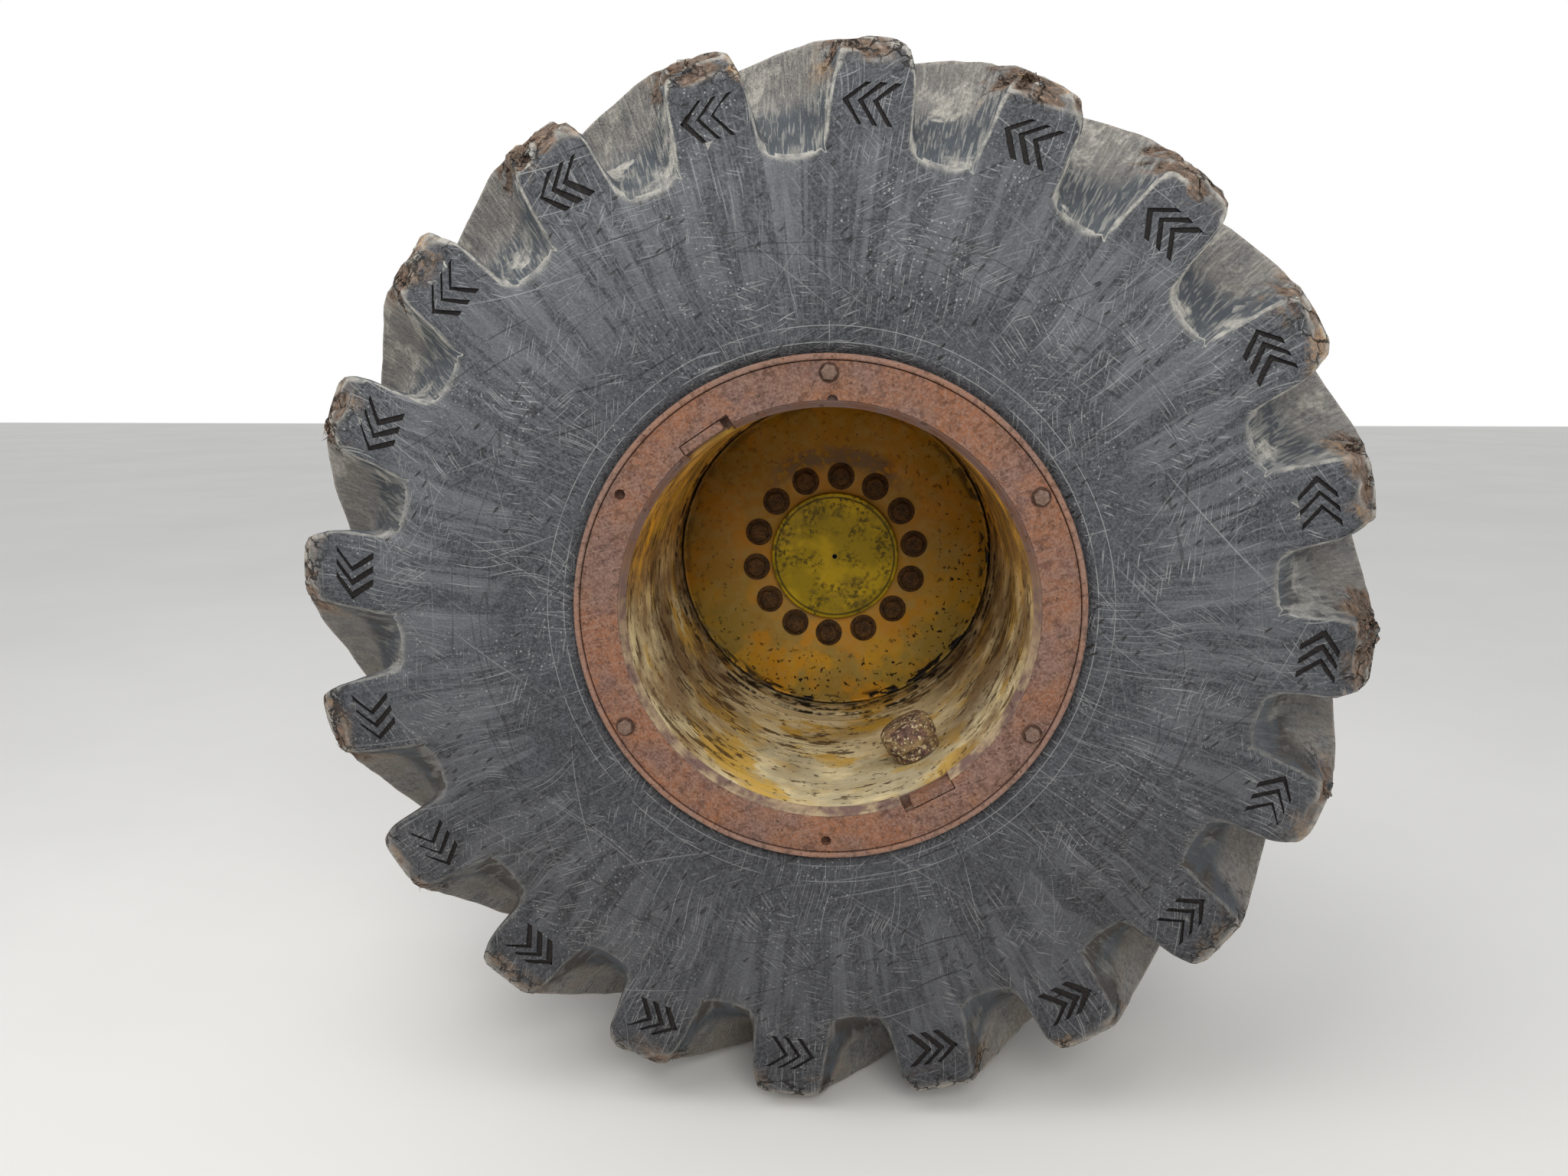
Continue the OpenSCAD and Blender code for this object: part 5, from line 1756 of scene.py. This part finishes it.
class WheelFinishes(bpy.types.PropertyGroup):
    rubber_dark: colour("Rubber", "#2e3033", "Clean rubber")
    rubber_grey: colour("Rubber, weathered", "#3e4044", "Weathered rubber")
    rubber_dust: colour("Rubber, dusty", "#707174", "Rubber under dry dust")
    scratch: colour("Scratches", "#acacaa", "Scratches and scuffs in the rubber")
    mud_dark: colour("Mud, damp", "#50555a", "Dried mud in the grooves, dark parts")
    # Mud as it looks in shade, painted in the lower grooves
    mud_in_shade: colour("Mud, below", "#48423d", "Mud in the grooves that look down")
    mud_mid: colour("Mud", "#84837e", "Dried mud in the grooves")
    mud_pale: colour("Mud, dry", "#bdb9ae", "Dried mud in the grooves, pale parts")
    crown_dust: colour("Lug tops", "#9b9186", "Dust on the tops of the lugs")
    crown_dark: colour("Lug tops, bare", "#726a63", "Rubber on the tops of the lugs")
    tip_tan: colour("Lug tips", "#b48c5c", "Rusty dust on the tips of the lugs")
    torn_dark: colour("Torn rubber, dark", "#3a2b22", "Torn rubber in its depth")
    torn_pale: colour("Torn rubber, pale", "#9a7c66", "Dry torn rubber")
    rust_brown: colour("Rust", "#6d4e3f", "Most of the rusted plate")
    rust_violet: colour("Rust, violet", "#624945", "Rust with old scale")
    rust_orange: colour("Rust, fresh", "#8f5a38", "Fresh rust")
    rust_dark: colour("Rust, pitted", "#38271f", "Pitted rust")
    # Rust of the plate's bolts, painted paler as a highlight on their heads
    guard_bolt: colour("Plate's bolts", "#7b6559", "Rubbed rust on the bolts of the plate")
    rust_pale: colour("Rust, rubbed", "#96796a", "Rubbed rust")
    band_violet: colour("Bare band", "#6d564e", "The bare bevel at the mouth of the barrel")
    # The paint as it looks in shade, painted on the barrel's upper half; the tan below stands for the lit
    # lower half
    barrel_shade: colour("Barrel, top", "#e0a028", "The barrel's upper half")
    barrel_tan: colour("Barrel", "#b49a64", "The barrel's paint")
    barrel_cream: colour("Barrel, chalked", "#e0d0a4", "Chalked paint")
    barrel_yellow: colour("Barrel, yellow", "#c79d34", "Paint that kept its colour")
    barrel_grey: colour("Barrel, smeared", "#98937e", "Grey smears")
    barrel_mud: colour("Barrel, mud", "#75593c", "Dried mud in the barrel")
    barrel_streak: colour("Barrel, streaks", "#4e3824", "Scratches round the barrel")
    # Near black for chips, cracks, nicks and seams, and for painted shade: the tyre's lower half and
    # chevrons, the disc's left and edge, the plate's gap and the pilot's centre hole
    chips_and_shade: colour("Chips", "#1e1815", "Chipped paint")
    guard_dark: colour("Valve guard, dark", "#4d3a33", "Old rust on the valve guard")
    guard_rust: colour("Valve guard", "#6f5347", "Rust on the valve guard")
    # The disc's paint as it looks in shade, painted on its upper half; the ochre below stands for the lit
    # part
    disc_in_shade: colour("Disc, top", "#9a6c0a", "The disc's upper half")
    disc_ochre: colour("Disc", "#c0922a", "The disc's paint")
    disc_orange: colour("Disc, orange", "#bd7a10", "Stained paint")
    disc_grey: colour("Disc, worn", "#7f7640", "Worn paint")
    disc_dust: colour("Disc, dusty", "#a89458", "Dust on the disc")
    scuff: colour("Disc, scuffed", "#6f573a", "The scuffed patch above the bolts")
    hub_olive: colour("Pilot, olive", "#9a8408", "The pilot's paint")
    hub_yellow: colour("Pilot", "#b89c10", "Cleaner paint on the pilot")
    hub_speck: colour("Pilot, specks", "#393312", "Dark specks")
    hub_grime: colour("Pilot, grime", "#655620", "Greasy dirt")
    bolt_dark: colour("Bolts", "#2b1a0a", "Wheel bolts")
    bolt_brown: colour("Bolts, rusty", "#4f3212", "Rust on the wheel bolts")
    bolt_worn: colour("Bolts, worn", "#826848", "Rubbed steel of the wheel bolts")
    steel_dark: colour("Steel, dark", "#45423e", "Dark steel")
    steel_grey: colour("Steel, grey", "#77736c", "Grey steel")
    steel_bright: colour("Steel, ground", "#b8b6b0", "Ground steel of the bearings")
    brass: colour("Valve", "#9a8750", "Dull brass")
    housing_yellow: colour("Housing", "#a08a3a", "The housing's paint")
    housing_dirt: colour("Housing, dirt", "#4c4337", "Oily dirt on the housing")


class WheelStage(bpy.types.PropertyGroup):
    floor: colour("Floor", "#ebe9e4", "Colour of the floor")
    key_power: FloatProperty(
        name="Key light", description="Power of the large soft lamp", default=100, unit="POWER"
    )
    fill_power: FloatProperty(
        name="Fill light", description="Power of the front lamp", default=115, unit="POWER"
    )
    sky: FloatProperty(name="Sky", description="Strength of the light from all round", default=0.7, min=0)


made = {}


def finish(maker):
    """The material of a maker, made the first time that it is asked for."""
    if maker not in made:
        made[maker] = maker(bpy.context.scene.wheel_finishes)
    return made[maker]


# Operators


class TyreBuild(bpy.types.Operator):
    """Models the worn tyre and the fibres on its torn lugs"""

    bl_idname = "wheel.tyre"
    bl_label = "Tyre"

    def execute(self, context):
        sizes = context.scene.wheel_sizes
        tyre = tyre_piece()
        wear_tyre(tyre, sizes.wear)
        shade(tyre, 50)
        dress(tyre, finish(rubber), "tyre_rubber", "wheel", "tyre")
        fibres = fibre_piece(tyre, sizes.fibres)
        dress(fibres, finish(torn_fibre), "tyre_rubber", "wheel")
        return {"FINISHED"}


class RimBuild(bpy.types.Operator):
    """Models the rim base and the outer flange, and dresses the lock ring"""

    bl_idname = "wheel.rim"
    bl_label = "Rim"

    def execute(self, context):
        dress(rim_base_piece(), finish(barrel_paint), "rim_paint", "wheel", "rim_base")
        dress(side_ring_piece(), finish(rusty_steel), "rusty_steel", "wheel", "side_ring")
        dress(
            eased_copy("lock_ring", "lock_ring_eased", 0.8), finish(rusty_steel), "rusty_steel",
            "wheel", "lock_ring",
        )
        return {"FINISHED"}


class GuardBuild(bpy.types.Operator):
    """Models the guard plate with its bolts, washers and driver keys"""

    bl_idname = "wheel.guard"
    bl_label = "Guard plate and keys"

    def execute(self, context):
        for piece, maker, node in (
            (guard_plate_piece(), rusty_steel, "guard_plate"),
            (guard_bolt_piece(), highlit_bolt_steel, "guard_bolts"),
            (guard_washer_piece(), dark_washer_steel, "guard_washers"),
            (key_piece(), rusty_steel, "driver_keys"),
        ):
            dress(piece, finish(maker), "rusty_steel", "wheel", node)
        return {"FINISHED"}


class ValveBuild(bpy.types.Operator):
    """Models the valve and its domed guard"""

    bl_idname = "wheel.valve"
    bl_label = "Valve and guard"

    def execute(self, context):
        dress(valve_guard_piece(), finish(guard_paint), "rim_paint", "wheel", "valve_guard")
        dress(valve_stem_piece(), finish(dull_brass), "valve_brass", "wheel", "valve_stem")
        return {"FINISHED"}


class DiscBuild(bpy.types.Operator):
    """Models the wheel disc with its bolts and washers"""

    bl_idname = "wheel.disc"
    bl_label = "Disc and wheel bolts"

    def execute(self, context):
        dress(wheel_disc_piece(), finish(disc_paint), "disc_paint", "wheel", "wheel_disc")
        dress(wheel_bolt_piece(), finish(bolt_steel), "dark_steel", "wheel", "wheel_bolts")
        dress(wheel_washer_piece(), finish(bolt_steel), "dark_steel", "wheel", "wheel_washers")
        return {"FINISHED"}


class AxleBuild(bpy.types.Operator):
    """Models the axle shaft and eases the housing, the bearings and the seal carrier"""

    bl_idname = "wheel.axle"
    bl_label = "Axle end"

    def execute(self, context):
        dress(axle_shaft_piece(), finish(hub_paint), "hub_paint", "wheel", "axle_shaft")
        for node, width, maker, slot in (
            ("axle_housing", 2.5, housing_paint, "housing_paint"),
            ("outer_bearing", 1.2, bright_steel, "bearing_steel"),
            ("inner_bearing", 1.2, bright_steel, "bearing_steel"),
            ("seal_carrier", 1.2, housing_paint, "housing_paint"),
            ("carrier_bolts", 0.5, bolt_steel, "dark_steel"),
        ):
            dress(eased_copy(node, node + "_eased", width), finish(maker), slot, "axle_end", node)
        return {"FINISHED"}


# The stage. The camera was fitted to the photograph: its place, its tilt and turn in degrees, its lens
CAMERA_SPOT = (0.0468, -3.1408, 0.4092)
CAMERA_TILT, CAMERA_TURN = 79.72, 3.5
CAMERA_LENS, CAMERA_SENSOR = 27.04, 36
# Each lamp's name, place and size in metres; both look at the middle of the wheel's outer side
LAMPS = {"key": ((-1.6, -2.6, 4.2), 3.4), "fill": ((0.8, -5.6, 2.6), 2.5)}
LAMP_TARGET = (0, -0.9, 0)
FLOOR_SIZE = 60


class StageBuild(bpy.types.Operator):
    """Lays the floor and sets the lamps, the sky and the camera"""

    bl_idname = "wheel.stage"
    bl_label = "Stage"

    def execute(self, context):
        settings = context.scene.wheel_stage
        deselect()
        bpy.ops.mesh.primitive_plane_add(size=FLOOR_SIZE, location=(0, 0, FLOOR_Z))
        floor = settle("floor")
        floor.data.materials.append(floor_paint(settings.floor))
        sky(settings.sky)
        lamp("key", settings.key_power)
        lamp("fill", settings.fill_power)
        turn = (math.radians(CAMERA_TILT), 0, math.radians(CAMERA_TURN))
        bpy.ops.object.camera_add(location=CAMERA_SPOT, rotation=turn)
        camera = context.object
        camera.name = camera.data.name = "photo_camera"
        camera.data.lens = CAMERA_LENS
        camera.data.sensor_width = CAMERA_SENSOR
        context.scene.camera = camera
        context.scene.view_settings.view_transform = "Standard"
        return {"FINISHED"}


def lamp(name, power):
    """A square soft lamp that looks at the wheel."""
    spot, size = LAMPS[name]
    bpy.ops.object.light_add(type="AREA", location=spot)
    light = bpy.context.object
    light.name = light.data.name = name
    light.data.size = size
    light.data.energy = power
    light.rotation_euler = (Vector(LAMP_TARGET) - Vector(spot)).to_track_quat("-Z", "Y").to_euler()


def floor_paint(tint):
    """Smooth painted studio floor, matt, with a faint unevenness."""
    material, tree, here = new_material("matt_floor_paint")
    cloud = patches(tree, here, 0.6, 0.3, 0.7, seed=1.0)
    worn = [channel * 0.94 for channel in tint[:3]] + [1.0]
    colour = layered(tree, tint, (cloud, worn))
    surface(tree, colour, 0.85, cloud, 0.0002)
    return material


def sky(strength):
    """Even light from all round, which the camera, gloss and glass see as white."""
    world = bpy.data.worlds.new("even_sky")
    bpy.context.scene.world = world
    world.use_nodes = True
    tree = world.node_tree
    tree.nodes.clear()
    path = add_node(tree, "ShaderNodeLightPath").outputs
    seen = greatest(tree, *(path["Is %s Ray" % kind] for kind in ("Camera", "Glossy", "Transmission")))
    light = add_node(tree, "ShaderNodeBackground", {"Color": linear("#f4f6fa"), "Strength": strength})
    white = add_node(tree, "ShaderNodeBackground", {"Color": linear("#ffffff"), "Strength": 1.0})
    mix = add_node(tree, "ShaderNodeMixShader", {0: seen, 1: light.outputs[0], 2: white.outputs[0]})
    add_node(tree, "ShaderNodeOutputWorld", {"Surface": mix.outputs[0]})


BUILDERS = (StageBuild, TyreBuild, RimBuild, GuardBuild, ValveBuild, DiscBuild, AxleBuild)


class WheelPanel(bpy.types.Panel):
    """Lists the builders and the settings of the wheel"""

    bl_label = "Skidder rear wheel"
    bl_idname = "VIEW3D_PT_skidder_wheel"
    bl_space_type = "VIEW_3D"
    bl_region_type = "UI"
    bl_category = "Wheel"

    def draw(self, context):
        layout = self.layout
        for builder in BUILDERS:
            layout.operator(builder.bl_idname)
        for group in GROUPS:
            settings = getattr(context.scene, group)
            box = layout.box()
            for name in settings.bl_rna.properties.keys():
                if name not in ("rna_type", "name"):
                    box.prop(settings, name)


GROUPS = {"wheel_sizes": WheelSizes, "wheel_finishes": WheelFinishes, "wheel_stage": WheelStage}


def register():
    for group in (*GROUPS.values(), *BUILDERS, WheelPanel):
        bpy.utils.register_class(group)
    for name, group in GROUPS.items():
        setattr(bpy.types.Scene, name, PointerProperty(type=group))


def unregister():
    for name in GROUPS:
        delattr(bpy.types.Scene, name)
    for group in reversed((*GROUPS.values(), *BUILDERS, WheelPanel)):
        bpy.utils.unregister_class(group)


def main():
    register()
    bpy.ops.wheel.stage()
    bpy.ops.wheel.tyre()
    bpy.ops.wheel.rim()
    bpy.ops.wheel.guard()
    bpy.ops.wheel.valve()
    bpy.ops.wheel.disc()
    bpy.ops.wheel.axle()


if __name__ == "__main__":
    main()
